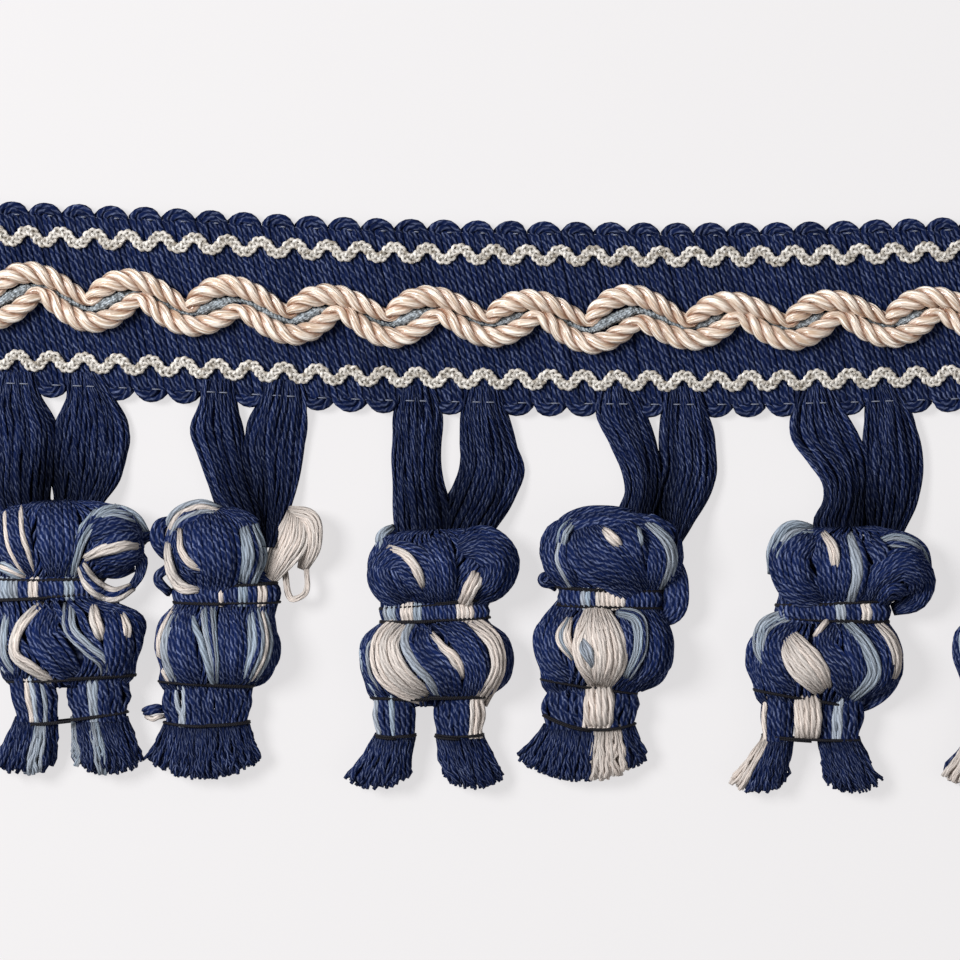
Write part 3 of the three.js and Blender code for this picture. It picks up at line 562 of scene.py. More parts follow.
LOCKS_5 = (
    Lock("NNNNNNNNN", 2.4, ((-7.0, 40.6, 2.2), (-12.0, 45.0, 3.6), (-11.2, 50.2, 3.3), (-5.2, 54.8, 1.7)),
         0.3),
    Lock("BBBBNB", 0.9, ((-6.8, 40.5, 1.1), (-11.5, 41.0, 2.3), (-13.9, 44.2, 2.0), (-14.9, 48.6, 0.9)),
         0.6, True),
    Lock("NNNNN", 1.0, ((-4.6, 41.0, 1.6), (-4.6, 47.0, 2.3), (-4.2, 54.4, 1.6)), 0.2),
    Lock("NNNN", 1.0, ((2.8, 41.6, 1.2), (5.0, 44.8, 1.8), (5.4, 48.8, 1.2)), 0.3),
    Lock("CCC", 0.6, ((-5.6, 40.6, 0.5), (-4.1, 43.2, 0.9), (-3.6, 48.4, 0.7)), 1.2),
    Lock("NNN", 0.8, ((-2.2, 40.8, 0.9), (-1.8, 47.9, 1.1), (-2.4, 54.6, 0.8)), 0.5),
    Lock("BBN", 0.8, ((-0.2, 40.8, 1.0), (1.1, 46.3, 1.4), (-0.2, 54.6, 0.9)), 0.7),
    Lock("BNBBN", 0.9, ((3.0, 43.2, 1.0), (8.6, 41.9, 1.6), (13.0, 44.0, 1.4), (15.0, 48.6, 0.4)), 0.0, True),
    Lock("NNNN", 1.0, ((4.6, 54.4, 0.9), (7.4, 51.4, 1.5), (10.4, 53.2, 1.2)), 0.6, True),
    Lock("NNNNNNNNN", 2.2, ((2.2, 54.2, 1.2), (5.2, 48.8, 2.6), (9.8, 46.6, 3.1), (13.2, 49.8, 2.7),
                            (12.2, 53.4, 2.2), (8.0, 55.4, 1.0)), 0.4, True),
    Lock("CCCCC", 1.3, ((-8.6, 71.6, 2.1), (-8.5, 75.6, 2.6), (-8.4, 79.8, 2.1)), 0.7, True),
    Lock("BBBB", 0.6, ((-11.4, 56.0, 1.2), (-16.9, 58.9, 1.4), (-17.7, 63.2, 0.9), (-15.6, 66.4, 0.4)), 0.9),
    Lock("NNNNNN", 1.2, ((-9.6, 56.6, 1.4), (-15.2, 61.9, 2.3), (-14.3, 66.6, 2.2), (-10.6, 71.8, 1.4)), 0.2),
    Lock("CCCCCCC", 1.8, ((-12.4, 60.0, 1.7), (-10.2, 64.0, 3.1), (-7.4, 67.6, 3.0), (-5.4, 70.6, 1.6)), 1.0),
    Lock("C", 0.3, ((-7.2, 60.2, 0.4), (-5.9, 58.4, 0.5), (-4.6, 57.2, 0.4)), 1.0),
    Lock("NNNNNN", 1.3, ((-2.6, 57.0, 1.6), (-5.2, 61.9, 1.9), (-2.7, 66.1, 2.3), (-0.6, 72.6, 1.6)), 0.3),
    Lock("NNNNN", 1.0, ((-0.8, 57.0, 1.2), (0.2, 62.4, 2.0), (0.8, 67.0, 1.8), (0.2, 72.4, 1.2)), 0.4),
    Lock("BBB", 0.6, ((-1.2, 57.4, 0.9), (2.6, 62.6, 1.2), (3.9, 66.9, 1.2), (-0.4, 72.6, 0.7)), 1.1),
    Lock("NNNNN", 1.0, ((2.4, 57.0, 1.5), (6.2, 64.0, 1.6), (5.6, 68.4, 1.5), (1.0, 72.4, 1.0)), 0.3),
    Lock("NNNN", 0.9, ((8.2, 64.0, 1.0), (7.6, 69.0, 1.4), (4.2, 72.6, 1.3), (0.4, 74.4, 0.9)), -0.8, True),
    Lock("CCC", 0.6, ((4.2, 57.2, 0.7), (7.6, 61.4, 1.1), (8.3, 65.8, 1.0), (7.4, 69.2, 0.4)), 0.9),
)


def moved(locks, x, down):
    """The same locks, moved along and down the trim."""
    return tuple(
        lock._replace(way=tuple((px + x, pd + down, half) for px, pd, half in lock.way)) for lock in locks
    )


# The sixth tassel repeats the third, a little higher
TASSEL_LOCKS = (LOCKS_1, LOCKS_2, LOCKS_3, LOCKS_4, LOCKS_5, moved(LOCKS_3, -0.4, -1.9))


class HangerLeg(NamedTuple):
    """One leg of a hanger: its way as stations of (x, down, half width), and how high its end lies."""

    tassel: int
    way: tuple
    end_z: float


HANGER_LEGS = (
    HangerLeg(0, ((-6.3, 10.2, 2.9), (-6.3, 14.6, 3.9), (-5.2, 20.0, 5.6), (-5.0, 26.0, 5.4),
                  (-5.2, 33.0, 5.0), (-4.4, 37.0, 4.4)), 6.0),
    HangerLeg(0, ((6.4, 10.2, 2.9), (7.2, 14.6, 4.3), (7.5, 19.2, 6.3), (7.4, 23.0, 6.9), (6.7, 29.6, 6.3),
                  (5.6, 34.3, 4.8), (4.6, 37.6, 3.6)), 6.0),
    HangerLeg(1, ((-6.3, 11.6, 2.9), (-6.4, 16.0, 3.4), (-6.6, 20.6, 4.7), (-5.6, 25.5, 4.4),
                  (-4.2, 30.7, 4.0), (-2.0, 36.0, 4.0), (0.6, 41.0, 2.0)), 8.2),
    HangerLeg(1, ((6.3, 11.6, 2.9), (5.8, 16.0, 4.3), (4.7, 20.6, 5.4), (4.1, 25.5, 5.5), (4.3, 30.7, 4.6),
                  (3.9, 36.0, 3.6), (3.2, 43.4, 1.5)), 8.6),
    HangerLeg(2, ((-6.3, 12.8, 2.9), (-6.3, 17.4, 4.3), (-6.4, 24.0, 4.5), (-6.2, 31.0, 4.7),
                  (-5.4, 35.5, 5.4), (-5.0, 40.0, 5.6), (-4.6, 45.0, 5.0)), 6.0),
    HangerLeg(2, ((6.3, 12.8, 2.9), (6.3, 17.4, 4.1), (7.2, 23.0, 4.9), (7.6, 28.8, 5.7), (5.8, 34.0, 6.2),
                  (3.0, 39.5, 5.4), (1.6, 45.0, 4.4)), 6.0),
    HangerLeg(3, ((-6.3, 12.9, 2.9), (-5.9, 17.6, 4.4), (-3.5, 23.4, 4.3), (-1.8, 29.1, 3.4),
                  (-1.7, 33.3, 3.1), (-2.6, 36.6, 3.2), (-3.0, 40.0, 2.8)), 6.0),
    HangerLeg(3, ((6.3, 12.9, 2.9), (6.5, 17.6, 4.0), (7.1, 24.4, 5.0), (7.3, 28.6, 5.1), (5.9, 33.8, 5.2),
                  (4.8, 38.6, 3.4), (4.0, 42.6, 1.6)), 8.0),
    HangerLeg(4, ((-6.3, 12.6, 2.9), (-6.0, 17.2, 4.6), (-4.6, 22.9, 6.2), (-2.2, 27.0, 5.4),
                  (-0.8, 31.2, 4.1), (-1.0, 34.8, 3.8), (-2.4, 39.0, 4.6), (-2.4, 42.6, 4.0)), 6.0),
    HangerLeg(4, ((6.3, 12.6, 2.9), (7.2, 17.2, 3.9), (8.0, 25.5, 5.2), (8.2, 29.6, 5.4), (7.5, 35.9, 4.8),
                  (6.3, 41.1, 3.4), (5.6, 44.6, 2.6)), 6.0),
    HangerLeg(5, ((-6.3, 11.4, 2.9), (-6.3, 16.0, 4.2), (-6.0, 22.0, 5.0), (-4.9, 29.0, 4.6),
                  (-4.2, 36.0, 4.4), (-4.0, 40.6, 4.0)), 6.0),
    HangerLeg(5, ((6.3, 11.4, 2.9), (6.5, 16.0, 4.2), (7.2, 22.0, 5.2), (6.4, 29.0, 5.0), (4.6, 36.0, 4.4),
                  (4.4, 40.6, 4.0)), 6.0),
)
HANGER_SHARES = (0.0, 0.14, 0.3, 0.6, 0.82, 1.0)
HANGER_LEVELS = (2.3, 2.2, 1.5, 1.5, 3.2)
HANGER_RINGS = 28
HANGER_LAYERS = 4
HANGER_LAYER_DEPTH = 0.65
HANGER_YARN_SPACING = 0.76
HANGER_FULLNESS = 0.58
HANGER_FULLER_BELOW = 0.12
HANGER_THICKEST = 0.62
HANGER_UNEVENNESS = 0.15
HANGER_CROWN = 1.5
HANGER_ROOT_CROWN = 0.15
HANGER_CROWN_SPAN = 0.25
HANGER_SWAY = 0.09
HANGER_RIPPLE = 0.3
HANGER_SINK = 1.4
HANGER_SINK_SPAN = (0.92, 0.08)

# Painted shade of a hanger: each yarn a random step darker or lighter as shade between clumps, darker towards
# the tassel, and darkest between the two legs
HANGER_YARN_SHADES = (0.55, 1.3)
HANGER_ROOT_SHADE = 0.9
HANGER_END_DARKER = 0.55
HANGER_DARK_SPAN = (0.5, 0.45)
HANGER_INNER_DARKER = 0.7
HANGER_INNER_SPAN = (0.25, 0.45)
HANGER_INNER_SHARE = 0.45
HANGER_INNER_SLOPE = 0.65


def smooth(places, values, at):
    """Read a table smoothly: a cubic curve through the values, at any place along it."""
    places = np.asarray(places, float)
    values = np.asarray(values, float)
    at = np.clip(np.asarray(at, float), places[0], places[-1])
    slopes = np.gradient(values, places, axis=0)
    left = np.clip(np.searchsorted(places, at, side="right") - 1, 0, len(places) - 2)
    span = places[left + 1] - places[left]
    t = (at - places[left]) / span
    if values.ndim > 1:
        span = span[..., None]
        t = t[..., None]
    rise = 3 * t**2 - 2 * t**3
    start_slope = t**3 - 2 * t**2 + t
    end_slope = t**3 - t**2
    return (
        (1 - rise) * values[left]
        + rise * values[left + 1]
        + span * (start_slope * slopes[left] + end_slope * slopes[left + 1])
    )


def through(stations, count):
    """Rows spread evenly along a smooth line through the stations, whose first two columns are its plan."""
    stations = np.asarray(stations, float)
    steps = np.linalg.norm(np.diff(stations[:, :2], axis=0), axis=1)
    along = np.concatenate([[0.0], np.cumsum(steps)])
    return smooth(along / along[-1], stations, np.linspace(0.0, 1.0, count))


def band_rise(x):
    """How far the band's bend lifts its middle line at x."""
    return smooth(BEND_X, BEND_RISE, x)


def tassel_x(index):
    """The middle of a tassel's two hanger legs."""
    return (index - (TASSEL_COUNT - 1) / 2) * TASSEL_PITCH


def bell(distance, width):
    """A soft bump of height 1."""
    return np.exp(-((distance / width) ** 2))


def eased(value, start, span):
    """0 up to a start, 1 from a span beyond it, and even between."""
    return np.clip((value - start) / span, 0.0, 1.0)


def even_spread(count):
    """Places spread evenly between -1 and 1, one row each."""
    return ((2 * np.arange(count) + 1) / count - 1)[:, None]


def uneven(rng, count, amount):
    """A random factor near 1 for each strand, one row each."""
    return rng.uniform(1 - amount, 1 + amount, (count, 1))


def wander(rng, strands, rings, size):
    """A slow random sway for each strand, one row each."""
    along = np.linspace(0.0, 1.0, rings)
    sway = np.zeros((strands, rings))
    for waves in SWAY_WAVES:
        phase = rng.uniform(0.0, 2 * math.pi, (strands, 1))
        reach = rng.normal(0.0, size / (1 + waves), (strands, 1))
        sway += reach * np.sin(2 * math.pi * waves * along + phase)
    return sway


def strand_frames(paths):
    """Two directions square to each strand at each ring, carried along it with no twist."""
    tangent = np.gradient(paths, axis=1)
    tangent /= np.linalg.norm(tangent, axis=2, keepdims=True) + TINY
    up = np.array([0.0, 0.0, 1.0])
    first = up - tangent[:, 0] * (tangent[:, 0] @ up)[:, None]
    first[np.linalg.norm(first, axis=1) < NEARLY_UPRIGHT] = (1.0, 0.0, 0.0)
    normal = np.empty_like(tangent)
    normal[:, 0] = first / np.linalg.norm(first, axis=1, keepdims=True)
    for ring in range(1, paths.shape[1]):
        carried = normal[:, ring - 1]
        carried = carried - tangent[:, ring] * np.sum(carried * tangent[:, ring], axis=1, keepdims=True)
        normal[:, ring] = carried / (np.linalg.norm(carried, axis=1, keepdims=True) + TINY)
    return normal, np.cross(tangent, normal)


class Strands:
    """Collects round strands and makes one joined mesh of them, with their colours and lengthwise UVs."""

    def __init__(self):
        self.points = []
        self.colours = []
        self.corners = []
        self.corner_uvs = []
        self.face_sizes = []
        self.count = 0
        self.starts = np.random.default_rng(STRAND_SEED)

    def add(self, paths, radii, colours, sides=STRAND_SIDES):
        """Add strands: paths (strand, ring, xyz), radii per ring, and a colour for each strand or ring."""
        paths = np.asarray(paths, float)
        strands, rings, _ = paths.shape
        radii = np.broadcast_to(radii, (strands, rings))
        normal, side = strand_frames(paths)
        angle = 2 * math.pi * np.arange(sides) / sides
        out = np.cos(angle)[:, None] * normal[:, :, None] + np.sin(angle)[:, None] * side[:, :, None]
        points = paths[:, :, None] + radii[:, :, None, None] * out
        self.points.append(points.reshape(-1, 3))
        colours = np.asarray(colours, float)
        if colours.ndim < 3:
            colours = np.broadcast_to(colours, (strands, 3))[:, None]
        colours = np.broadcast_to(colours[:, :, None], points.shape)
        self.colours.append(colours.reshape(-1, 3))

        index = self.count + np.arange(strands * rings * sides).reshape(strands, rings, sides)
        self.count += index.size
        here = index[:, :-1]
        there = index[:, 1:]
        walls = np.stack([here, np.roll(here, -1, 2), np.roll(there, -1, 2), there], axis=-1)
        ends = np.concatenate([index[:, 0, ::-1], index[:, -1]])
        self.corners += [walls.ravel(), ends.ravel()]
        self.face_sizes += [np.full(walls.size // 4, 4), np.full(len(ends), sides)]

        length = np.zeros((strands, rings))
        length[:, 1:] = np.cumsum(np.linalg.norm(np.diff(paths, axis=1), axis=2), axis=1)
        length += self.starts.uniform(0.0, STRAND_START_SPREAD, (strands, 1))
        around = np.arange(sides) / sides
        wall_uv = np.empty(walls.shape + (2,))
        near, far = length[:, :-1], length[:, 1:]
        wall_uv[..., 0] = np.stack([near, near, far, far], -1)[:, :, None]
        wall_uv[..., 1] = np.stack([around, around + 1 / sides, around + 1 / sides, around], -1)
        end_uv = np.zeros(ends.shape + (2,))
        end_uv[..., 0] = np.concatenate([length[:, 0], length[:, -1]])[:, None]
        end_uv[..., 1] = around
        self.corner_uvs += [wall_uv.reshape(-1, 2), end_uv.reshape(-1, 2)]
        return points

    def lay(self, x, y, z, radii, colours, sides=STRAND_SIDES):
        """Add strands given by rows of x, y and z, kept above the floor."""
        paths = np.stack(np.broadcast_arrays(x, y, np.maximum(z, radii)), axis=-1)
        self.add(paths, radii, colours, sides)

    def tint(self, shades):
        """Tint the strands added last, point by point."""
        self.colours[-1] = self.colours[-1] * shades.reshape(-1, 3)

    def mesh(self, name):
        """The joined mesh, in metres."""
        corners = np.concatenate(self.corners)
        sizes = np.concatenate(self.face_sizes)
        starts = np.concatenate([[0], np.cumsum(sizes)[:-1]])
        mesh = bpy.data.meshes.new(name)
        mesh.vertices.add(self.count)
        mesh.vertices.foreach_set("co", (np.concatenate(self.points) * MM).ravel())
        mesh.loops.add(len(corners))
        mesh.loops.foreach_set("vertex_index", corners.astype(np.int32))
        mesh.polygons.add(len(sizes))
        mesh.polygons.foreach_set("loop_start", starts.astype(np.int32))
        mesh.update(calc_edges=True)
        mesh.uv_layers.new(name="strand").data.foreach_set("uv", np.concatenate(self.corner_uvs).ravel())
        tint = mesh.color_attributes.new("yarn_colour", "FLOAT_COLOR", "POINT")
        rows = np.ones((self.count, 4))
        rows[:, :3] = np.concatenate(self.colours)
        tint.data.foreach_set("color", rows.ravel())
        mesh.shade_smooth()
        mesh.validate()
        return mesh


def add_piece(name, mesh, material, nodes=()):
    """Put a finished mesh in the scene as a piece of the trim."""
    piece = bpy.data.objects.new(name, mesh)
    bpy.context.scene.collection.objects.link(piece)
    mesh.materials.append(material)
    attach(piece, "root")
    if nodes:
        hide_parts(*nodes)
    return piece


class Wiring:
    """A material's node tree, with short calls to add and join nodes."""

    def __init__(self, name):
        self.material = bpy.data.materials.get(name) or bpy.data.materials.new(name)
        self.material.use_nodes = True
        self.tree = self.material.node_tree
        self.shader = self.tree.nodes["Principled BSDF"]

    def set(self, **sockets):
        """Set the shader's own sockets, named with underscores for spaces."""
        for name, value in sockets.items():
            self.shader.inputs[name.replace("_", " ")].default_value = value

    def node(self, kind, **fields):
        """Add a node of a kind, with its fields set."""
        node = self.tree.nodes.new("ShaderNode" + kind)
        for name, value in fields.items():
            setattr(node, name, value)
        return node

    def join(self, source, target):
        """Join one socket to another."""
        self.tree.links.new(source, target)

    def math(self, operation, first, second=0.0, third=None):
        """A Math node's result. Each input is a socket or a number."""
        node = self.node("Math", operation=operation)
        for socket, value in zip(node.inputs, (first, second, third)):
            if isinstance(value, (int, float)):
                socket.default_value = value
            elif value is not None:
                self.join(value, socket)
        return node.outputs[0]

    def spread(self, value, low, high):
        """Spread a value of 0 to 1 between two others, each a socket or a number."""
        if isinstance(low, float) and isinstance(high, float):
            return self.math("MULTIPLY_ADD", value, high - low, low)
        return self.math("MULTIPLY_ADD", value, self.math("SUBTRACT", high, low), low)

    def strand_uv(self):
        """Length along the strand in millimetres, and the way round it from 0 to 1."""
        split = self.node("SeparateXYZ")
        self.join(self.node("UVMap", uv_map="strand").outputs[0], split.inputs[0])
        return split.outputs[0], split.outputs[1]

    def streak_run(self, along, around):
        """The strand's UV, stretched so that noise on it makes streaks along the strand."""
        length, turn = self.strand_uv()
        return self.vector(self.math("MULTIPLY", length, along), self.math("MULTIPLY", turn, around))

    def yarn_tint(self):
        """Each strand's own colour, and how light it is."""
        node = self.node("Attribute", attribute_name="yarn_colour")
        return node.outputs["Color"], node.outputs["Fac"]

    def noise(self, vector, scale, detail=2.0):
        """Noise from 0 to 1."""
        node = self.node("TexNoise")
        node.inputs["Scale"].default_value = scale
        node.inputs["Detail"].default_value = detail
        self.join(vector, node.inputs["Vector"])
        return node.outputs["Fac"]

    def place(self):
        """A point's own place, in metres."""
        return self.node("TexCoord").outputs["Object"]

    def vector(self, x, y):
        """A vector from two values."""
        node = self.node("CombineXYZ")
        self.join(x, node.inputs[0])
        self.join(y, node.inputs[1])
        return node.outputs[0]

    def twist(self, plies, pitch, unevenness=0.0):
        """The crests of a strand's plies: 1 on a ply, 0 between two."""
        length, around = self.strand_uv()
        turns = self.math("MULTIPLY_ADD", length, plies / pitch, self.math("MULTIPLY", around, plies))
        if unevenness:
            drift = self.noise(self.vector(length, length), scale=0.5)
            turns = self.math("MULTIPLY_ADD", drift, unevenness, turns)
        wave = self.math("COSINE", self.math("MULTIPLY", turns, 2 * math.pi))
        return self.math("MULTIPLY_ADD", wave, 0.5, 0.5)

    def shade(self, colour, amount):
        """A colour made darker or lighter by an amount."""
        node = self.node("VectorMath", operation="SCALE")
        self.join(colour, node.inputs[0])
        self.join(amount, node.inputs["Scale"])
        return node.outputs[0]

    def blend(self, low, high, share):
        """A colour between two constant ones."""
        node = self.node("Mix", data_type="RGBA")
        ends = {"A_Color": low, "B_Color": high}
        for socket in node.inputs:
            if socket.identifier in ends:
                socket.default_value = (*ends[socket.identifier], 1.0)
        self.join(share, node.inputs["Factor"])
        return next(socket for socket in node.outputs if socket.identifier == "Result_Color")

    def ramp(self, value, start, end):
        """0 at a start value, 1 at an end value, and even between."""
        node = self.node("MapRange")
        node.inputs["From Min"].default_value = start
        node.inputs["From Max"].default_value = end
        self.join(value, node.inputs["Value"])
        return node.outputs["Result"]

    def tinted(self, colour, other):
        """One colour multiplied by another."""
        node = self.node("VectorMath", operation="MULTIPLY")
        self.join(colour, node.inputs[0])
        self.join(other, node.inputs[1])
        return node.outputs[0]

    def lift(self, colour, added, amount):
        """A colour with an amount of a constant one added."""
        extra = self.node("VectorMath", operation="SCALE")
        extra.inputs[0].default_value = added
        self.join(amount, extra.inputs["Scale"])
        node = self.node("VectorMath", operation="ADD")
        self.join(colour, node.inputs[0])
        self.join(extra.outputs[0], node.inputs[1])
        return node.outputs[0]

    def bump(self, height, strength, distance):
        """Bend the shader's normal by a height."""
        node = self.node("Bump")
        node.inputs["Strength"].default_value = strength
        node.inputs["Distance"].default_value = distance
        self.join(height, node.inputs["Height"])
        self.join(node.outputs[0], self.shader.inputs["Normal"])

    def paint(self, colour):
        """Give the shader its colour."""
        self.join(colour, self.shader.inputs["Base Color"])


def scaled(colour, share):
    """A constant colour made darker or lighter."""
    return tuple(share * part for part in colour)


def yarn_finish(yarns):
    """Matt plied yarn in each strand's own colour, with painted light: a painted highlight streaked like
    fibres on the crests of navy plies, painted shade between them, and painted shade in fine lines between
    the plies of light yarn.
    """
    made = bpy.data.materials.get("plied_yarn")
    if made:
        return made
    wiring = Wiring("plied_yarn")
    wiring.set(Roughness=0.85, Specular_IOR_Level=0.04)
    tint, lightness = wiring.yarn_tint()
    darkness = wiring.ramp(lightness, 0.3, 0.05)
    ply = wiring.twist(plies=3, pitch=yarns.ply_pitch / MM, unevenness=1.6)
    fine = wiring.math("POWER", wiring.twist(plies=4, pitch=14.0, unevenness=1.0), 0.6)
    fibres = wiring.ramp(wiring.noise(wiring.streak_run(0.6, 9.0), scale=1.7), 0.33, 0.67)
    patches = wiring.ramp(wiring.noise(wiring.place(), scale=450.0), 0.3, 0.7)
    # Painted highlight on the crests of a navy yarn's plies; dark_tone paints shade between the plies
    lit = wiring.math("MULTIPLY", wiring.math("POWER", ply, 2.6), wiring.spread(fibres, 0.1, 1.0))
    lit = wiring.math("MULTIPLY", lit, wiring.spread(patches, 0.4, 1.4))
    dark_tone = wiring.spread(lit, 0.5, 1.1)
    # Painted shade in the grooves of light yarn: fine darker lines between its plies
    groove = wiring.spread(wiring.ramp(lightness, 0.35, 0.6), 0.45, 0.76)
    lines = wiring.spread(fine, groove, 1.13)
    light_tone = wiring.math("MULTIPLY", wiring.spread(fibres, 0.86, 1.1), lines)
    tone = wiring.spread(darkness, light_tone, dark_tone)
    shown = wiring.math("MULTIPLY", darkness, wiring.ramp(lightness, 0.0, 0.08))
    colour = wiring.shade(tint, tone)
    # The painted crest highlight is added as a pale colour, more on brighter navy
    wiring.paint(wiring.lift(colour, yarns.crest_highlight, wiring.math("MULTIPLY", lit, shown)))
    relief = wiring.spread(darkness, fine, ply)
    wiring.bump(wiring.math("MULTIPLY_ADD", fibres, 0.6, relief), strength=0.6, distance=0.0002)
    return wiring.material


def satin_finish():
    """Glossy twisted filament with painted sheen: fine streaks along each ply, painted from a dull brown
    shade to a whitish highlight.
    """
    wiring = Wiring("satin_cord")
    wiring.set(Roughness=0.3, Specular_IOR_Level=0.8, Coat_Weight=0.6, Coat_Roughness=0.14)
    tint, _ = wiring.yarn_tint()
    streaks = wiring.ramp(wiring.noise(wiring.streak_run(0.08, 4.4), scale=3.0, detail=3.0), 0.38, 0.6)
    patches = wiring.noise(wiring.place(), scale=260.0)
    # Painted highlight and shade: each streak blends from a dull brown to a whitish highlight
    streaked = wiring.tinted(tint, wiring.blend((0.74, 0.64, 0.55), (1.32, 1.43, 1.55), streaks))
    wiring.paint(wiring.shade(streaked, wiring.spread(patches, 0.76, 1.42)))
    wiring.bump(streaks, strength=0.8, distance=0.0003)
    return wiring.material


def braid_finish():
    """Silvery cream filament with fine streaks along each strand of the plait."""
    wiring = Wiring("cream_braid")
    wiring.set(Roughness=0.32, Specular_IOR_Level=0.9)
    tint, _ = wiring.yarn_tint()
    streaks = wiring.noise(wiring.streak_run(0.5, 6.0), scale=2.5, detail=3.0)
    patches = wiring.ramp(wiring.noise(wiring.place(), scale=1000.0), 0.32, 0.62)
    flecked = wiring.tinted(tint, wiring.blend((0.4, 0.36, 0.3), (1.22, 1.22, 1.2), patches))
    wiring.paint(wiring.shade(flecked, wiring.spread(streaks, 0.4, 1.6)))
    wiring.bump(streaks, strength=0.7, distance=0.0002)
    return wiring.material


def fine_cord_finish(colours):
    """Grey-blue cord with pale and dark flecks, and painted shade between its plies."""
    wiring = Wiring("blue_cord")
    wiring.set(Roughness=0.6, Specular_IOR_Level=0.4)
    ply = wiring.twist(plies=3, pitch=0.9)
    flecks = wiring.ramp(wiring.noise(wiring.place(), scale=1500.0), 0.35, 0.68)
    tone = wiring.math("MULTIPLY", wiring.spread(ply, 0.35, 1.0), flecks)
    light = tuple(min(1.0, part + 0.06) for part in scaled(colours.fine_cord, 2.6))
    wiring.paint(wiring.blend(scaled(colours.fine_cord, 0.3), light, tone))
    wiring.bump(tone, strength=0.8, distance=0.0002)
    return wiring.material


def thread_finish(name, colour, pitch):
    """Thin twisted sewing thread, with painted shade between its plies."""
    wiring = Wiring(name)
    wiring.set(Roughness=0.7, Specular_IOR_Level=0.3)
    ply = wiring.twist(plies=2, pitch=pitch)
    wiring.paint(wiring.blend(scaled(colour, 0.45), colour, ply))
    wiring.bump(ply, strength=0.6, distance=0.0001)
    return wiring.material


def ground_finish(yarns):
    """The close ground under the weft: dark navy, lighter in fine patches."""
    wiring = Wiring("band_ground")
    wiring.set(Roughness=0.9, Specular_IOR_Level=0.2)
    patches = wiring.noise(wiring.place(), scale=900.0)
    wiring.paint(wiring.blend(scaled(yarns.navy, 0.25), scaled(yarns.navy, 0.7), patches))
    wiring.bump(patches, strength=0.5, distance=0.0002)
    return wiring.material


def floor_finish(stage):
    """A pale matt surface, partly lit from below like a light table, with a trace of unevenness."""
    wiring = Wiring("studio_floor")
    wiring.set(Roughness=0.95, Specular_IOR_Level=0.1)
    wiring.set(Emission_Color=(*stage.floor_colour, 1.0), Emission_Strength=stage.floor_glow)
    grain = wiring.noise(wiring.place(), scale=40.0)
    wiring.paint(wiring.blend(scaled(stage.floor_colour, 0.98), stage.floor_colour, grain))
    return wiring.material


def yarn_colours(letters, rng, shine):
    """A colour for each letter: N navy, B pale blue, C cream, each yarn a little different."""
    yarns = bpy.context.scene.trim_yarns
    shades = {"N": shine * np.array(yarns.navy), "B": np.array(yarns.pale_blue), "C": np.array(yarns.cream)}
    unevenness = np.array([UNEVENNESS[letter] for letter in letters])[:, None]
    colours = np.array([shades[letter] for letter in letters])
    depth = 1 + unevenness * rng.uniform(-1.0, 1.0, (len(letters), 1))
    warmth = WARMTH_SHARE * unevenness * rng.uniform(-1.0, 1.0, (len(letters), 1)) * np.array(WARMTH_TINT)
    return colours * depth * (1 + warmth)


def shaded(colours, shade):
    """Each strand's colour, made darker or lighter ring by ring."""
    return colours[:, None] * shade[..., None]


def filling_radius(half, count, fullness, thickest):
    """The radius of yarns that fill a width side by side, a little pressed into one another."""
    return np.clip(fullness * 2 * half / count, THINNEST_YARN, thickest)


def loop_tips(first, reach=TRIM_END):
    """The tips of an edge's loops that lie within reach of the trim's middle."""
    count = int(reach / LOOP_PITCH) + 1
    tips = first + LOOP_PITCH * np.arange(-count, count + 1)
    return tips[np.abs(tips) < reach]


def is_hanger_root(x):
    """True where a hanger leg takes the place of a lower loop."""
    roots = [tassel_x(i) + side * LOOP_PITCH for i in range(TASSEL_COUNT) for side in (-1, 1)]
    return min(abs(x - root) for root in roots) < LOOP_PITCH / 2


def weft_slope(edge, face):
    """How far a weft yarn leans along the band for each step from an edge to the middle."""
    return edge * face * WEFT_LEAN / (2 * BAND_HALF_WIDTH)


def weft_leg(tip, edge, offset, face, reach, rings):
    """One straight run of a weft yarn from the band's middle to a loop, as x and distance from the middle."""
    slope = weft_slope(edge, face)
    start = 0.0
    if abs(tip + offset + slope * BAND_HALF_WIDTH) > TRIM_END:
        start = BAND_HALF_WIDTH - (math.copysign(TRIM_END, tip) - tip - offset) / slope
    out = np.linspace(min(max(start, 0.0), reach - SHORTEST_WEFT), reach, rings)
    pinch = 1 - LOOP_PINCH * bell(out - LOOP_PINCH_AT, LOOP_PINCH_WIDTH)
    return tip + offset * pinch + slope * (BAND_HALF_WIDTH - out), out


def weft_path(x, out, edge, face):
    """A weft yarn's path: drawn in by the edge stitching, full in its loop and low at its tip."""
    drawn = -WEFT_DRAWN_IN * bell(out - STITCH_OFFSET, WEFT_DRAWN_WIDTH)
    full = LOOP_LIFT * bell(out - LOOP_LIFT_AT, LOOP_LIFT_WIDTH)
    tip = -TIP_DROP * eased(out, TIP_DROP_AT, TIP_DROP_SPAN)
    middle_z = FRONT_WEFT_Z if face > 0 else BACK_WEFT_Z
    return np.stack([x, band_rise(x) + edge * out, middle_z + face * (drawn + full + tip)], axis=1)


def weft_yarn(tip, edge, offset, face, leg_rings, turn_rings):
    """A weft yarn that runs out to an edge, turns in a loop and comes back."""
    left_x, left_out = weft_leg(tip, edge, -offset, face, RAINBOW_BASE, leg_rings)
    right_x, right_out = weft_leg(tip, edge, offset, face, RAINBOW_BASE, leg_rings)
    turn = np.linspace(math.pi, 0.0, turn_rings + 2)[1:-1]
    turn_out = RAINBOW_BASE + offset * RAINBOW_HEIGHT * np.sin(turn)
    turn_x = tip + offset * np.cos(turn) + weft_slope(edge, face) * (BAND_HALF_WIDTH - turn_out)
    x = np.concatenate([left_x, turn_x, right_x[::-1]])
    out = np.concatenate([left_out, turn_out, right_out[::-1]])
    return weft_path(x, out, edge, face)


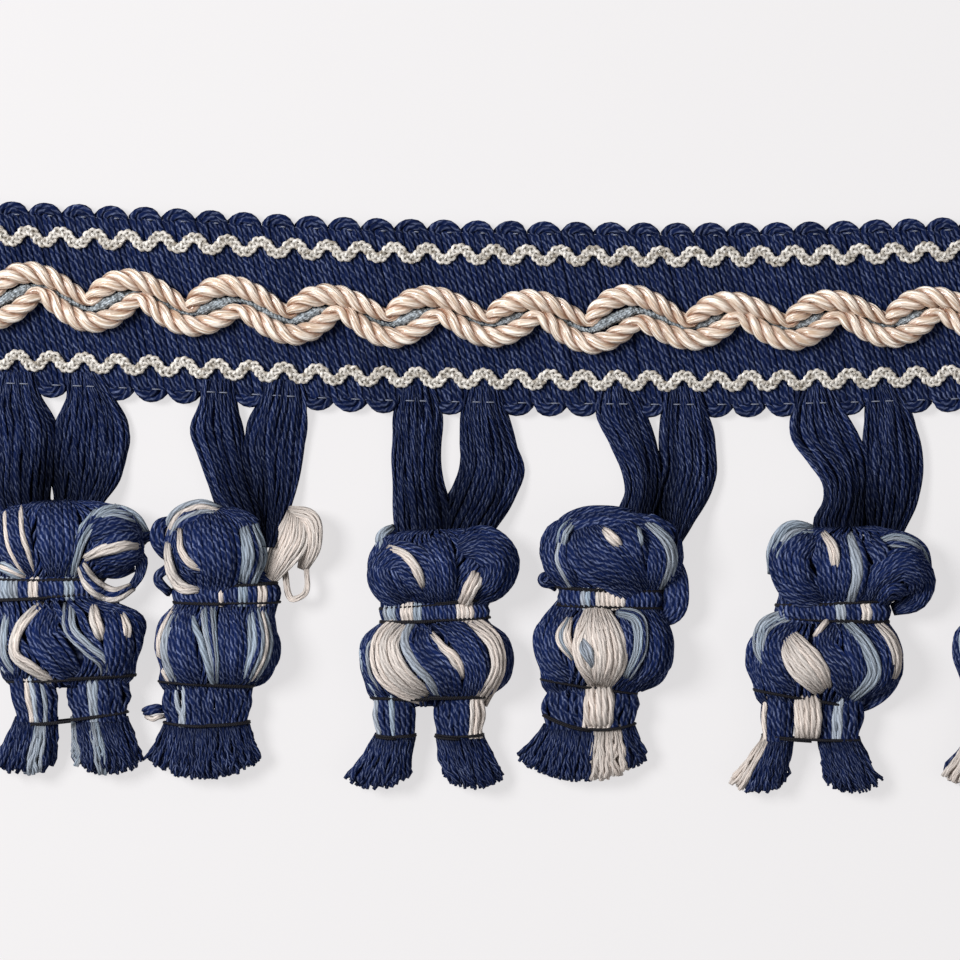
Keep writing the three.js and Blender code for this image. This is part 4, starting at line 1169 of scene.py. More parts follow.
def cut_yarns(face, rings):
    """What a cut end of the trim leaves of the loops beyond it, from the band's middle out to the cut."""
    paths = []
    for edge, first in EDGE_TIPS:
        slope = weft_slope(edge, face)
        for tip in loop_tips(first, TRIM_END + LOOP_PITCH):
            cut_x = math.copysign(TRIM_END, tip)
            for offset in RAINBOW_OFFSETS:
                if abs(tip) + offset <= TRIM_END:
                    continue
                for root in (tip - offset, tip + offset):
                    reach = BAND_HALF_WIDTH - max(LEAVING_INSET, (cut_x - root) / slope)
                    if abs(root) <= TRIM_END:
                        reach = BAND_HALF_WIDTH - LEAVING_INSET
                    if abs(root + slope * BAND_HALF_WIDTH) > TRIM_END or reach < SHORTEST_WEFT:
                        continue
                    out = np.linspace(0.0, reach, rings)
                    paths.append(weft_path(root + slope * (BAND_HALF_WIDTH - out), out, edge, face))
    return paths


def weft_paths(face, leg_rings, turn_rings):
    """The weft yarns of one face of the band that turn, leave in a hanger, or are cut at a trim end."""
    turning = []
    leaving = []
    for edge, first in EDGE_TIPS:
        for tip in loop_tips(first):
            for offset in RAINBOW_OFFSETS:
                if abs(tip) + offset > TRIM_END:
                    continue
                if edge > 0 or not is_hanger_root(tip):
                    turning.append(weft_yarn(tip, edge, offset, face, leg_rings, turn_rings))
                    continue
                for side in (-1, 1):
                    reach = BAND_HALF_WIDTH - LEAVING_INSET
                    x, out = weft_leg(tip, edge, side * offset, face, reach, leg_rings)
                    leaving.append(weft_path(x, out, edge, face))
    return np.array(turning), np.array(leaving), np.array(cut_yarns(face, leg_rings))


def cord_phase(arch, x):
    """Which arch of a satin cord lies at x, and how far along that arch it is, from 0 to 1."""
    waves = (np.asarray(x, float) - arch.first_x) / WAVE_PITCH
    wave = np.clip(np.floor(waves).astype(int), 0, len(arch.apexes) - 1)
    return wave, waves - wave


def cord_middle(arch, x):
    """Where a satin cord's middle runs, across the band."""
    wave, phase = cord_phase(arch, x)
    cusps = np.array(arch.cusps)
    cusp = cusps[wave] + (cusps[wave + 1] - cusps[wave]) * phase
    swing = np.clip(np.sin(math.pi * phase**arch.skew), 0.0, 1.0) ** arch.power
    swing = np.hypot(swing, arch.cusp_round) - arch.cusp_round
    swing /= math.hypot(1.0, arch.cusp_round) - arch.cusp_round
    return cusp + (np.array(arch.apexes)[wave] - cusp) * swing


def cord_radius(arch, x):
    """A satin cord's radius: full on its arch and drawn thin at its cusp."""
    _, phase = cord_phase(arch, x)
    share = np.clip(np.sin(math.pi * phase**arch.radius_skew), 0.0, 1.0) ** arch.radius_power
    return arch.cusp_radius + (arch.full_radius - arch.cusp_radius) * share


def even_run(across, step):
    """Places along the whole trim, about a step apart along the line y = across(x)."""
    x = np.linspace(-TRIM_END, TRIM_END, RUN_SAMPLES)
    line = np.stack([x, band_rise(x) + across(x)], axis=1)
    length = np.concatenate([[0.0], np.cumsum(np.linalg.norm(np.diff(line, axis=0), axis=1))])
    count = int(length[-1] / step) + 1
    run = np.linspace(0.0, length[-1], count)
    return np.interp(run, length, x), run


def square_to(x, y):
    """The direction square to a line in plan, to its left."""
    tangent = np.stack([np.gradient(x), np.gradient(y)], axis=1)
    tangent /= np.linalg.norm(tangent, axis=1, keepdims=True)
    return np.stack([-tangent[:, 1], tangent[:, 0]], axis=1)


def beside(x, y, z, sideways, upward):
    """A path moved sideways and upward from a line in plan."""
    left = square_to(x, y)
    return np.stack([x + sideways * left[:, 0], y + sideways * left[:, 1], z + upward], axis=1)


def twisted(x, y, z, turns, count, reach):
    """The paths of strands twisted round a line."""
    angles = [2 * math.pi * (turns + strand / count) for strand in range(count)]
    return [beside(x, y, z, reach * np.cos(angle), reach * np.sin(angle)) for angle in angles]


def groove_shades(points, axis, outer):
    """Painted shade of a twisted cord's points: warm brown deep in its grooves, lighter on its outer side
    than on the side towards the other cord.
    """
    arm = points - axis[:, None]
    away = np.linalg.norm(arm, axis=3)
    depth = away / away.max(axis=2, keepdims=True)
    clear = eased(depth, GROOVE_DEPTH, GROOVE_CREST - GROOVE_DEPTH)
    side = 0.5 + 0.5 * outer * arm[..., 1] / away
    light = clear * (INNER_SHADE + (1 - INNER_SHADE) * side)
    tint = np.array(GROOVE_TINT)
    return tint + (1 - tint) * light[..., None]


class Body:
    """The lofted form of one tassel's body, which its yarns lie on."""

    def __init__(self, index):
        row = TASSELS[index]
        self.row = row
        self.x = tassel_x(index)
        self.crown_y = float(band_rise(self.x)) - row.drop
        self.along = [section.along for section in BODY_SECTIONS]
        middles = [getattr(row, section.of + "_x") for section in BODY_SECTIONS]
        halves = [getattr(row, section.of + "_half") * section.share for section in BODY_SECTIONS]
        heights = [section.height for section in BODY_SECTIONS]
        levels = [section.z for section in BODY_SECTIONS]
        self.table = np.array([middles, halves, heights, levels]).T

    def y_at(self, along):
        """The place across the trim that lies so far below the crown."""
        return self.crown_y - along * self.row.stretch

    def sections(self, along):
        """Middle, half width, half thickness and level at places along the body."""
        middle, half, height, level = np.moveaxis(smooth(self.along, self.table, along), -1, 0)
        return self.x + middle, half, height, level

    def face(self, x, y):
        """The height of the body's front at a point."""
        middle, half, height, level = self.sections((self.crown_y - y) / self.row.stretch)
        return level + height * dome(np.clip(np.abs(x - middle) / half, 0.0, 1.0))


def rounded(value):
    """Sine or cosine for the body's squared oval."""
    return np.sign(value) * np.abs(value) ** (2 / BODY_ROUNDNESS)


def dome(across):
    """The height of the body's squared oval, from 1 in its middle to 0 at its sides."""
    return (1 - np.abs(across) ** BODY_ROUNDNESS) ** (1 / BODY_ROUNDNESS)


def body_yarns(work, body, rng):
    """The navy yarns that run round the whole body, through its ties, from crown to neck."""
    along = np.linspace(BODY_TOP, BODY_END, BODY_RINGS)
    middle, half, height, level = body.sections(along)
    jitter = rng.uniform(-BODY_JITTER, BODY_JITTER, BODY_YARNS)
    turn = 2 * math.pi * (np.arange(BODY_YARNS) + jitter)[:, None] / BODY_YARNS
    puff = eased(along, BODY_TOP, UPPER_WAIST_TIE - BODY_TOP)
    belly = eased(along, LOWER_WAIST_TIE, BELLY_TIE - LOWER_WAIST_TIE)
    swirl = body.row.puff_swirl * np.sin(2 * math.pi * puff)
    swirl += body.row.belly_swirl * np.sin(2 * math.pi * belly)
    turn = turn + swirl + wander(rng, BODY_YARNS, BODY_RINGS, BODY_SWAY)
    swell = 1 + wander(rng, BODY_YARNS, BODY_RINGS, BODY_SWELL)
    girth = BODY_GIRTH * (half + height)
    radius = np.clip(BODY_FULLNESS * girth / BODY_YARNS, THINNEST_YARN, BODY_THICKEST)
    x = middle + half * swell * rounded(np.sin(turn))
    z = level + height * swell * rounded(np.cos(turn))
    # Painted shade where each tie draws the yarns in
    drawn = [bell(along - tie, TIE_DIP_WIDTH) for tie in (UPPER_WAIST_TIE, LOWER_WAIST_TIE, BELLY_TIE)]
    shade = 1 - TIE_DIP_DARKER * np.max(drawn, axis=0)
    colours = yarn_colours("N" * BODY_YARNS, rng, TASSEL_SHINE)
    work.lay(x, body.y_at(along), z, radius, shaded(colours, shade))


def body_core(work, body):
    """A filling under the outer yarns, a darker navy as painted shade, so that no light shows between them.
    """
    along = np.linspace(CORE_TOP, BODY_END, CORE_RINGS)
    middle, half, height, level = body.sections(along)
    across = np.linspace(-CORE_SPREAD, CORE_SPREAD, CORE_STRANDS)[:, None]
    x = middle + across * half
    slant = np.gradient(x, along, axis=1)
    radius = np.minimum(CORE_FULLNESS * height * dome(across), half * (1 - np.abs(across)))
    radius = radius / np.sqrt(1 + slant**2)
    navy = np.array(bpy.context.scene.trim_yarns.navy)
    work.lay(x, body.y_at(along), level, radius, CORE_SHADE * navy, CORE_SIDES)


def waist_yarns(work, body, letters, rng):
    """The short bright stretch between the two waist ties."""
    count = len(letters)
    along = np.linspace(UPPER_WAIST_TIE - WAIST_TUCK, LOWER_WAIST_TIE + WAIST_TUCK, WAIST_RINGS)
    middle, half, height, level = body.sections(along)
    across = even_spread(count) * WAIST_SPREAD
    bulge = WAIST_BULGE * np.sin(np.linspace(0.0, math.pi, WAIST_RINGS)) - WAIST_SINK
    x = middle + across * half
    z = level + height * dome(across) + bulge
    radius = filling_radius(half, count, WAIST_FULLNESS, WAIST_THICKEST)
    work.lay(x, body.y_at(along), z, radius, yarn_colours(letters, rng, TASSEL_SHINE))


def lock_yarns(work, body, lock, rng):
    """A lock of yarn laid on the body's face along its way, its ends tucked in, with painted shade at them.
    """
    line = through(lock.way, LOCK_RINGS)
    x = body.x + line[:, 0]
    y = -line[:, 1]
    half = np.maximum(line[:, 2], LOCK_NARROWEST)
    left = square_to(x, y)
    count = len(lock.yarns)
    spread = even_spread(count)
    across = spread + wander(rng, count, LOCK_RINGS, LOCK_SWAY / count)
    share = np.sin(np.linspace(0.0, math.pi, LOCK_RINGS)) ** LOCK_END_POWER
    x = x + across * half * left[:, 0]
    y = y + across * half * left[:, 1]
    crown = lock.crown * np.sqrt(np.clip(1 - spread**2, LOCK_EDGE_CROWN, 1.0)) * share
    ripple = wander(rng, count, LOCK_RINGS, LOCK_RIPPLE)
    base = body.face(x, y) + lock.lift - LOCK_TUCK * (1 - share) + ripple
    radius = filling_radius(half, count, LOCK_FULLNESS, LOCK_THICKEST)
    radius = radius * uneven(rng, count, THICKNESS_UNEVENNESS)
    shade = LOCK_END_SHADE + (1 - LOCK_END_SHADE) * share
    heights = [base + crown]
    if lock.whole:
        heights.append(base - LOCK_BACK_CROWN * crown - LOCK_BACK_DEPTH)
    for z in heights:
        work.lay(x, y, z, radius, shaded(yarn_colours(lock.yarns, rng, TASSEL_SHINE), shade))


def leg_yarns(work, body, leg, rng):
    """A tassel leg's yarns, from under the belly tie to its foot tie, and the cut ends below it."""
    front = len(leg.yarns)
    letters = leg.yarns + "N" * front
    count = len(letters)
    along = np.linspace(BELLY_TIE - LEG_TUCK, FOOT_TIE + LEG_OVERRUN, LEG_RINGS)
    mid_x = (leg.top_x + leg.tie_x) / 2
    mid_half = (leg.top_half + leg.tie_half) / 2
    middles = (leg.top_x, leg.top_x, mid_x, leg.tie_x, leg.tie_x)
    halves = np.array([leg.top_half, leg.top_half, mid_half, leg.tie_half, leg.tie_half])
    half = smooth(LEG_PLACES, halves * np.array(LEG_WIDTH_SHARES), along)
    height = smooth(LEG_PLACES, LEG_DEPTHS, along)
    level = smooth(LEG_PLACES, LEG_LEVELS, along)
    across = np.tile(even_spread(front), (2, 1)) + wander(rng, count, LEG_RINGS, LEG_SWAY)
    face = np.repeat([1.0, -1.0], front)[:, None]
    x = body.x + smooth(LEG_PLACES, middles, along) + across * half
    z = level + face * height * np.sqrt(np.clip(1 - across**2, 0.0, 1.0))
    z = z + wander(rng, count, LEG_RINGS, LEG_RIPPLE)
    radius = filling_radius(half, front, LEG_FULLNESS, LEG_THICKEST)
    work.lay(x, body.y_at(along), z, radius, yarn_colours(letters, rng, HANGER_SHINE))
    for layer in np.linspace(-1.0, 1.0, FOOT_LAYERS):
        foot_yarns(work, body, leg, layer, rng)


def foot_yarns(work, body, leg, layer, rng):
    """One layer of a leg's cut ends, fanned out from its foot tie to the hem, with painted shade darkest at
    the tie.
    """
    letters = "N" * (FOOT_BACK_YARNS_TO_A_LETTER * len(leg.foot))
    if layer > FOOT_BACK_LAYER:
        letters = "".join(FOOT_YARNS_TO_A_LETTER * letter for letter in leg.foot)
    count = len(letters)
    share = np.linspace(0.0, 1.0, FOOT_RINGS)
    fan = share**FOOT_FAN_POWER
    across = even_spread(count) + rng.uniform(-1.0, 1.0, (count, 1)) / count
    rounding = HEM_ROUNDING * leg.hem_half * np.abs(across) ** HEM_ROUNDING_POWER
    reach = HEM + rng.uniform(*HEM_UNEVENNESS, (count, 1)) - rounding
    start = FOOT_TIE - FOOT_TUCK
    along = start + (reach - start) * share
    middle = body.x + leg.tie_x + (leg.hem_x - leg.tie_x) * fan
    half = FOOT_SPREAD * (leg.tie_half + (leg.hem_half - leg.tie_half) * fan)
    round_share = np.sqrt(np.clip(1 - across**2, FOOT_EDGE_DEPTH, 1.0))
    depth = FOOT_DEPTH + FOOT_SWELL * np.sin(math.pi * share)
    x = middle + across * half + wander(rng, count, FOOT_RINGS, FOOT_SWAY) * share
    z = FOOT_TIE_Z - FOOT_DROP * fan + layer * depth * round_share
    z = z + wander(rng, count, FOOT_RINGS, FOOT_RIPPLE) * share
    radius = filling_radius(half, count, FOOT_FULLNESS, FOOT_THICKEST) * np.ones((count, 1))
    radius[:, -1] *= CUT_END_TAPER
    shade = FOOT_TIE_SHADE + FOOT_LIGHTER_BELOW * eased(share, 0.0, FOOT_SHADE_SPAN)
    colours = yarn_colours(letters, rng, HANGER_SHINE)
    work.lay(x, body.y_at(along), z, radius, shaded(colours, shade))


def hanger_yarns(work, leg, rng):
    """One leg of a hanger: layers of navy yarn from the band's edge down into the tassel's crown, with
    painted shade towards the crown and between the two legs.
    """
    middle, down, half = through(leg.way, HANGER_RINGS).T
    share = np.linspace(0.0, 1.0, HANGER_RINGS)
    level = smooth(HANGER_SHARES, HANGER_LEVELS + (leg.end_z,), share)
    sink = HANGER_SINK * eased(share, *HANGER_SINK_SPAN)
    shade = HANGER_ROOT_SHADE - HANGER_END_DARKER * eased(share, *HANGER_DARK_SPAN)
    widest = max(station[2] for station in leg.way)
    inner = -math.copysign(1.0, leg.way[0][0])
    lower = eased(share, *HANGER_INNER_SPAN)
    rise = np.clip(share / HANGER_CROWN_SPAN, HANGER_ROOT_CROWN, 1.0)
    for layer in range(HANGER_LAYERS):
        count = int(round(2 * widest / HANGER_YARN_SPACING)) - layer % 2
        spread = even_spread(count)
        across = spread + wander(rng, count, HANGER_RINGS, HANGER_SWAY)
        x = tassel_x(leg.tassel) + middle + across * half
        crown = HANGER_CROWN * np.sqrt(np.clip(1 - spread**2, 0.0, 1.0)) * rise
        z = level + crown - HANGER_LAYER_DEPTH * layer - sink
        z = z + wander(rng, count, HANGER_RINGS, HANGER_RIPPLE)
        fullness = HANGER_FULLNESS + HANGER_FULLER_BELOW * layer
        radius = filling_radius(half, count, fullness, HANGER_THICKEST)
        radius = radius * uneven(rng, count, HANGER_UNEVENNESS)
        depth = rng.uniform(*HANGER_YARN_SHADES, (count, 1))
        facing = np.clip(HANGER_INNER_SHARE + HANGER_INNER_SLOPE * inner * spread, 0.0, 1.0)
        hidden = 1 - HANGER_INNER_DARKER * facing * lower
        colours = yarn_colours("N" * count, rng, HANGER_SHINE)
        work.lay(x, -down, z, radius, shaded(colours, depth * hidden * shade))


def tie_winding(work, oval, y, half, tilt, sag, rng):
    """A few windings of thread round an oval(y) that stands square to Y, tilted and sagging across it."""
    rings = TIE_RINGS_TO_A_TURN * TIE_TURNS
    share = np.linspace(0.0, 1.0, rings)
    turn = math.pi / 2 + 2 * math.pi * TIE_TURNS * share
    across = rounded(np.cos(turn))
    y = y + TIE_SPREAD * (share - 0.5) + tilt * half * across + sag * (across**2 - SAG_MIDDLE)
    y = y + wander(rng, 1, rings, TIE_SWAY)[0]
    reach = TIE_REACH + wander(rng, 1, rings, TIE_RIPPLE)[0]
    middle, half, height, level = oval(y)
    x = middle + (half + reach) * across
    z = level + (height + reach) * rounded(np.sin(turn))
    work.lay(x[None], y, z, TIE_RADIUS, bpy.context.scene.trim_cords.tie)


class TrimYarns(bpy.types.PropertyGroup):
    """Twist and colours of the plied yarn."""

    ply_pitch: bpy.props.FloatProperty(
        name="Ply pitch", description="Length of one full turn of a yarn's three plies",
        default=0.006, min=0.001, max=0.02, unit="LENGTH", precision=4,
    )
    # Colour of the painted highlight added on the crests of a dark yarn's plies
    crest_highlight: bpy.props.FloatVectorProperty(
        name="Pale fibres", description="Light that the fibres on a dark yarn's crests add to it",
        subtype="COLOR", default=(0.22, 0.25, 0.31), min=0.0, max=1.0,
    )
    navy: bpy.props.FloatVectorProperty(
        name="Navy", description="Colour of the navy yarn", subtype="COLOR",
        default=(0.0085, 0.0195, 0.09), min=0.0, max=1.0,
    )
    pale_blue: bpy.props.FloatVectorProperty(
        name="Pale blue", description="Colour of the pale blue yarn", subtype="COLOR",
        default=(0.36, 0.415, 0.49), min=0.0, max=1.0,
    )
    cream: bpy.props.FloatVectorProperty(
        name="Cream", description="Colour of the cream yarn", subtype="COLOR",
        default=(0.72, 0.645, 0.595), min=0.0, max=1.0,
    )


class TrimCords(bpy.types.PropertyGroup):
    """Colours of the cords, braids and threads."""

    satin: bpy.props.FloatVectorProperty(
        name="Satin cord", description="Colour of the twisted satin cords", subtype="COLOR",
        default=(1.0, 0.85, 0.70), min=0.0, max=1.0,
    )
    braid: bpy.props.FloatVectorProperty(
        name="Zigzag braid", description="Colour of the cream zigzag braids", subtype="COLOR",
        default=(0.88, 0.835, 0.79), min=0.0, max=1.0,
    )
    fine_cord: bpy.props.FloatVectorProperty(
        name="Fine cord", description="Colour of the grey-blue cord", subtype="COLOR",
        default=(0.26, 0.295, 0.325), min=0.0, max=1.0,
    )
    tie: bpy.props.FloatVectorProperty(
        name="Tie thread", description="Colour of the black tie thread", subtype="COLOR",
        default=(0.006, 0.005, 0.009), min=0.0, max=1.0,
    )
    stitch: bpy.props.FloatVectorProperty(
        name="Edge stitching", description="Colour of the pale stitching thread", subtype="COLOR",
        default=(0.34, 0.37, 0.47), min=0.0, max=1.0,
    )


class TrimStage(bpy.types.PropertyGroup):
    """The floor, lights and camera of the studio."""

    floor_colour: bpy.props.FloatVectorProperty(
        name="Floor", description="Colour of the studio floor", subtype="COLOR",
        default=(0.20, 0.196, 0.1975), min=0.0, max=1.0,
    )
    floor_glow: bpy.props.FloatProperty(
        name="Floor glow", description="Strength of the light from below the floor",
        default=3.35, min=0.0, max=6.0,
    )
    ambient: bpy.props.FloatProperty(
        name="Ambient", description="Strength of the even light from all round",
        default=0.22, min=0.0, max=3.0,
    )
    key_power: bpy.props.FloatProperty(
        name="Key light", description="Power of the large lamp at the left",
        default=11.0, min=0.0, unit="POWER",
    )
    frame_width: bpy.props.FloatProperty(
        name="Frame width", description="Width of the view at the trim", default=0.1824, unit="LENGTH",
    )
    frame_middle: bpy.props.FloatVectorProperty(
        name="Frame middle", description="The point of the trim in the middle of the view",
        default=(-0.01349, -0.03072, 0.004), subtype="TRANSLATION", unit="LENGTH",
    )
    lens: bpy.props.FloatProperty(
        name="Lens", description="Focal length in millimetres", default=200.0, min=20.0, max=400.0,
    )


class TRIM_OT_weave_band(bpy.types.Operator):
    """Weave the band: a close ground, and weft yarns that turn back in loops at both edges"""

    bl_idname = "trim.weave_band"
    bl_label = "Weave Band"

    def execute(self, context):
        yarns = context.scene.trim_yarns
        rng = np.random.default_rng(WEFT_SEED)
        bm = bmesh.new()
        bmesh.ops.create_grid(bm, x_segments=GROUND_CELLS[0], y_segments=GROUND_CELLS[1], size=1.0)
        for vertex in bm.verts:
            x = vertex.co.x * GROUND_END
            y = float(band_rise(x)) + vertex.co.y * GROUND_HALF_WIDTH
            vertex.co = (x * MM, y * MM, GROUND_BACK_Z * MM)
        slab = bmesh.ops.extrude_face_region(bm, geom=bm.faces[:])
        lifted = [item for item in slab["geom"] if isinstance(item, bmesh.types.BMVert)]
        bmesh.ops.translate(bm, verts=lifted, vec=(0.0, 0.0, GROUND_THICKNESS * MM))
        bmesh.ops.recalc_face_normals(bm, faces=bm.faces[:])
        mesh = bpy.data.meshes.new("band_ground")
        bm.to_mesh(mesh)
        bm.free()
        ground = add_piece("band_ground", mesh, ground_finish(yarns), ["woven_band"])

        work = Strands()
        for face, leg_rings, turn_rings, sides in WEFT_FACES:
            for paths in weft_paths(face, leg_rings, turn_rings):
                strands, rings, _ = paths.shape
                x, y, z = np.moveaxis(paths, 2, 0)
                full = 1 + LOOP_FULLNESS * eased(np.abs(y - band_rise(x)), RAINBOW_BASE, 1.0)
                radius = WEFT_RADIUS * full * uneven(rng, strands, THICKNESS_UNEVENNESS)
                x = x + wander(rng, strands, rings, WEFT_SWAY)
                z = z + wander(rng, strands, rings, WEFT_RIPPLE)
                work.lay(x, y, z, radius, yarn_colours("N" * strands, rng, WEFT_SHINE), sides)
        weft = add_piece("band_weft", work.mesh("band_weft"), yarn_finish(yarns), ["woven_band"])
        return {"FINISHED"}


class TRIM_OT_lay_zigzags(bpy.types.Operator):
    """Lay the two zigzag braids, each a flat plait of three cream strands"""

    bl_idname = "trim.lay_zigzags"
    bl_label = "Lay Zigzag Braids"

    def execute(self, context):
        finish = braid_finish()
        for name, edge, offset, tip in (
            ("upper", 1, UPPER_ZIGZAG, UPPER_TIP_X),
            ("lower", -1, LOWER_ZIGZAG, LOWER_TIP_X),
        ):

            def across(x, edge=edge, offset=offset, tip=tip):
                wave = np.tanh(ZIGZAG_FULLNESS * np.cos(2 * math.pi * (x - tip) / LOOP_PITCH))
                return edge * (offset - ZIGZAG_SWING * wave / math.tanh(ZIGZAG_FULLNESS))

            x, run = even_run(across, ZIGZAG_STEP)
            y = band_rise(x) + across(x)
            phase = 2 * math.pi * (run / PLAIT_PITCH + np.arange(PLAIT_STRANDS)[:, None] / PLAIT_STRANDS)
            paths = [
                beside(x, y, ZIGZAG_Z, PLAIT_HALF_WIDTH * np.sin(p), PLAIT_HALF_HEIGHT * np.sin(2 * p))
                for p in phase
            ]
            # Painted shade where the strands cross in the plait's middle
            shown = np.abs(np.sin(phase)) ** PLAIT_SHADE_POWER
            shade = PLAIT_CROSSING_SHADE + (1 - PLAIT_CROSSING_SHADE) * shown
            work = Strands()
            work.add(paths, PLAIT_RADIUS, shade[..., None] * np.array(context.scene.trim_cords.braid))
            piece = "zigzag_plait_" + name
            add_piece(piece, work.mesh(piece), finish, ["zigzag_braid_" + name])
        return {"FINISHED"}


class TRIM_OT_twist_cords(bpy.types.Operator):
    """Twist the two satin cords, each of three plies, and lay them in waves along the band"""

    bl_idname = "trim.twist_cords"
    bl_label = "Twist Satin Cords"

    def execute(self, context):
        colours = context.scene.trim_cords
        finish = satin_finish()
        for name, arch, outer in (("upper", UPPER_ARCH, 1), ("lower", LOWER_ARCH, -1)):
            x, run = even_run(lambda place, arch=arch: cord_middle(arch, place), CORD_STEP)
            y = band_rise(x) + cord_middle(arch, x)
            radius = cord_radius(arch, x)
            z = BAND_THICKNESS + CORD_HEIGHT_SHARE * radius
            turns = CORD_TURNS_PER_WAVE * run / (run[-1] / (2 * TRIM_END / WAVE_PITCH))
            paths = twisted(x, y, z, turns, CORD_PLIES, PLY_OFFSET_SHARE * radius)
            work = Strands()
            points = work.add(paths, PLY_RADIUS_SHARE * radius, colours.satin, CORD_SIDES)
            # Paint the cord's groove shade point by point
            work.tint(groove_shades(points, np.stack([x, y, z], axis=1), outer))
            piece = "satin_cord_" + name
            add_piece(piece, work.mesh(piece), finish, ["twisted_cord_" + name])
        return {"FINISHED"}


class TRIM_OT_lay_fine_cord(bpy.types.Operator):
    """Lay the grey-blue fine cord between the two satin cords"""

    bl_idname = "trim.lay_fine_cord"
    bl_label = "Lay Fine Cord"

    def execute(self, context):
        colours = context.scene.trim_cords

        def gap(x):
            upper = cord_middle(UPPER_ARCH, x) - cord_radius(UPPER_ARCH, x)
            lower = cord_middle(LOWER_ARCH, x) + cord_radius(LOWER_ARCH, x)
            return lower, upper

        x, run = even_run(lambda place: sum(gap(place)) / 2, FINE_CORD_STEP)
        lower, upper = gap(x)
        radius = np.clip((upper - lower) / 2, FINE_CORD_THINNEST, FINE_CORD_THICKEST)
        y = band_rise(x) + (lower + upper) / 2
        turns = run / FINE_CORD_PITCH
        reach = FINE_STRAND_OFFSET * radius
        paths = twisted(x, y, BAND_THICKNESS + radius, turns, FINE_CORD_STRANDS, reach)
        work = Strands()
        work.add(paths, FINE_STRAND_RADIUS * radius, colours.fine_cord, FINE_CORD_SIDES)
        mesh = work.mesh("fine_cord_strands")
        add_piece("fine_cord_strands", mesh, fine_cord_finish(colours), ["fine_cord"])
        return {"FINISHED"}


class TRIM_OT_sew_edges(bpy.types.Operator):
    """Sew the pale thread that draws in the loops along both edges"""

    bl_idname = "trim.sew_edges"
    bl_label = "Sew Edges"

    def execute(self, context):
        colours = context.scene.trim_cords
        work = Strands()
        x = np.linspace(-TRIM_END + STITCH_INSET, TRIM_END - STITCH_INSET, STITCH_RINGS)
        for edge, tip, dash in ((1, UPPER_TIP_X, UPPER_DASH), (-1, LOWER_TIP_X, LOWER_DASH)):
            phase = np.mod((x - tip) / LOOP_PITCH + 0.5, 1.0) - 0.5
            shown = bell(phase - STITCH_PHASE, dash)
            face = np.full(len(x), STITCH_FACE_Z)
            if edge < 0:
                hanging = np.array([is_hanger_root(place) for place in x])
                shown = np.where(hanging, bell(np.abs(phase) - LEG_STITCH_PHASE, LEG_DASH), shown)
                face = np.where(hanging, STITCH_LEG_Z, face)
            z = STITCH_SUNK_Z + (face - STITCH_SUNK_Z) * np.clip(STITCH_RISE * shown, 0.0, 1.0)
            y = band_rise(x) + edge * STITCH_OFFSET
            work.lay(x[None], y, z, STITCH_RADIUS, colours.stitch, STITCH_SIDES)
        finish = thread_finish("edge_stitching", colours.stitch, STITCH_THREAD_PITCH)
        add_piece("edge_stitching", work.mesh("edge_stitching"), finish)
        return {"FINISHED"}


class TRIM_OT_hang_hangers(bpy.types.Operator):
    """Hang the looped hanks of navy yarn that carry the tassels"""

    bl_idname = "trim.hang_hangers"
    bl_label = "Hang Hangers"

    def execute(self, context):
        finish = yarn_finish(context.scene.trim_yarns)
        for index in range(TASSEL_COUNT):
            rng = np.random.default_rng(HANGER_SEED + index)
            work = Strands()
            for leg in HANGER_LEGS:
                if leg.tassel == index:
                    hanger_yarns(work, leg, rng)
            piece = f"hanger_yarns_{index + 1}"
            add_piece(piece, work.mesh(piece), finish, [f"hanger_{index + 1}"])
        return {"FINISHED"}


class TRIM_OT_dress_tassels(bpy.types.Operator):
    """Dress each tassel with its yarns: puff, waist, belly, legs and cut ends"""

    bl_idname = "trim.dress_tassels"
    bl_label = "Dress Tassels"

    def execute(self, context):
        finish = yarn_finish(context.scene.trim_yarns)
        for index in range(TASSEL_COUNT):
            rng = np.random.default_rng(TASSEL_SEED + index)
            body = Body(index)
            work = Strands()
            body_core(work, body)
            body_yarns(work, body, rng)
            waist_yarns(work, body, WAISTS[index], rng)
            for lock in TASSEL_LOCKS[index]:
                lock_yarns(work, body, lock, rng)
            for leg in TASSEL_LEGS:
                if leg.tassel == index:
                    leg_yarns(work, body, leg, rng)
            piece = f"tassel_yarns_{index + 1}"
            add_piece(piece, work.mesh(piece), finish, [f"tassel_{index + 1}"])
        return {"FINISHED"}


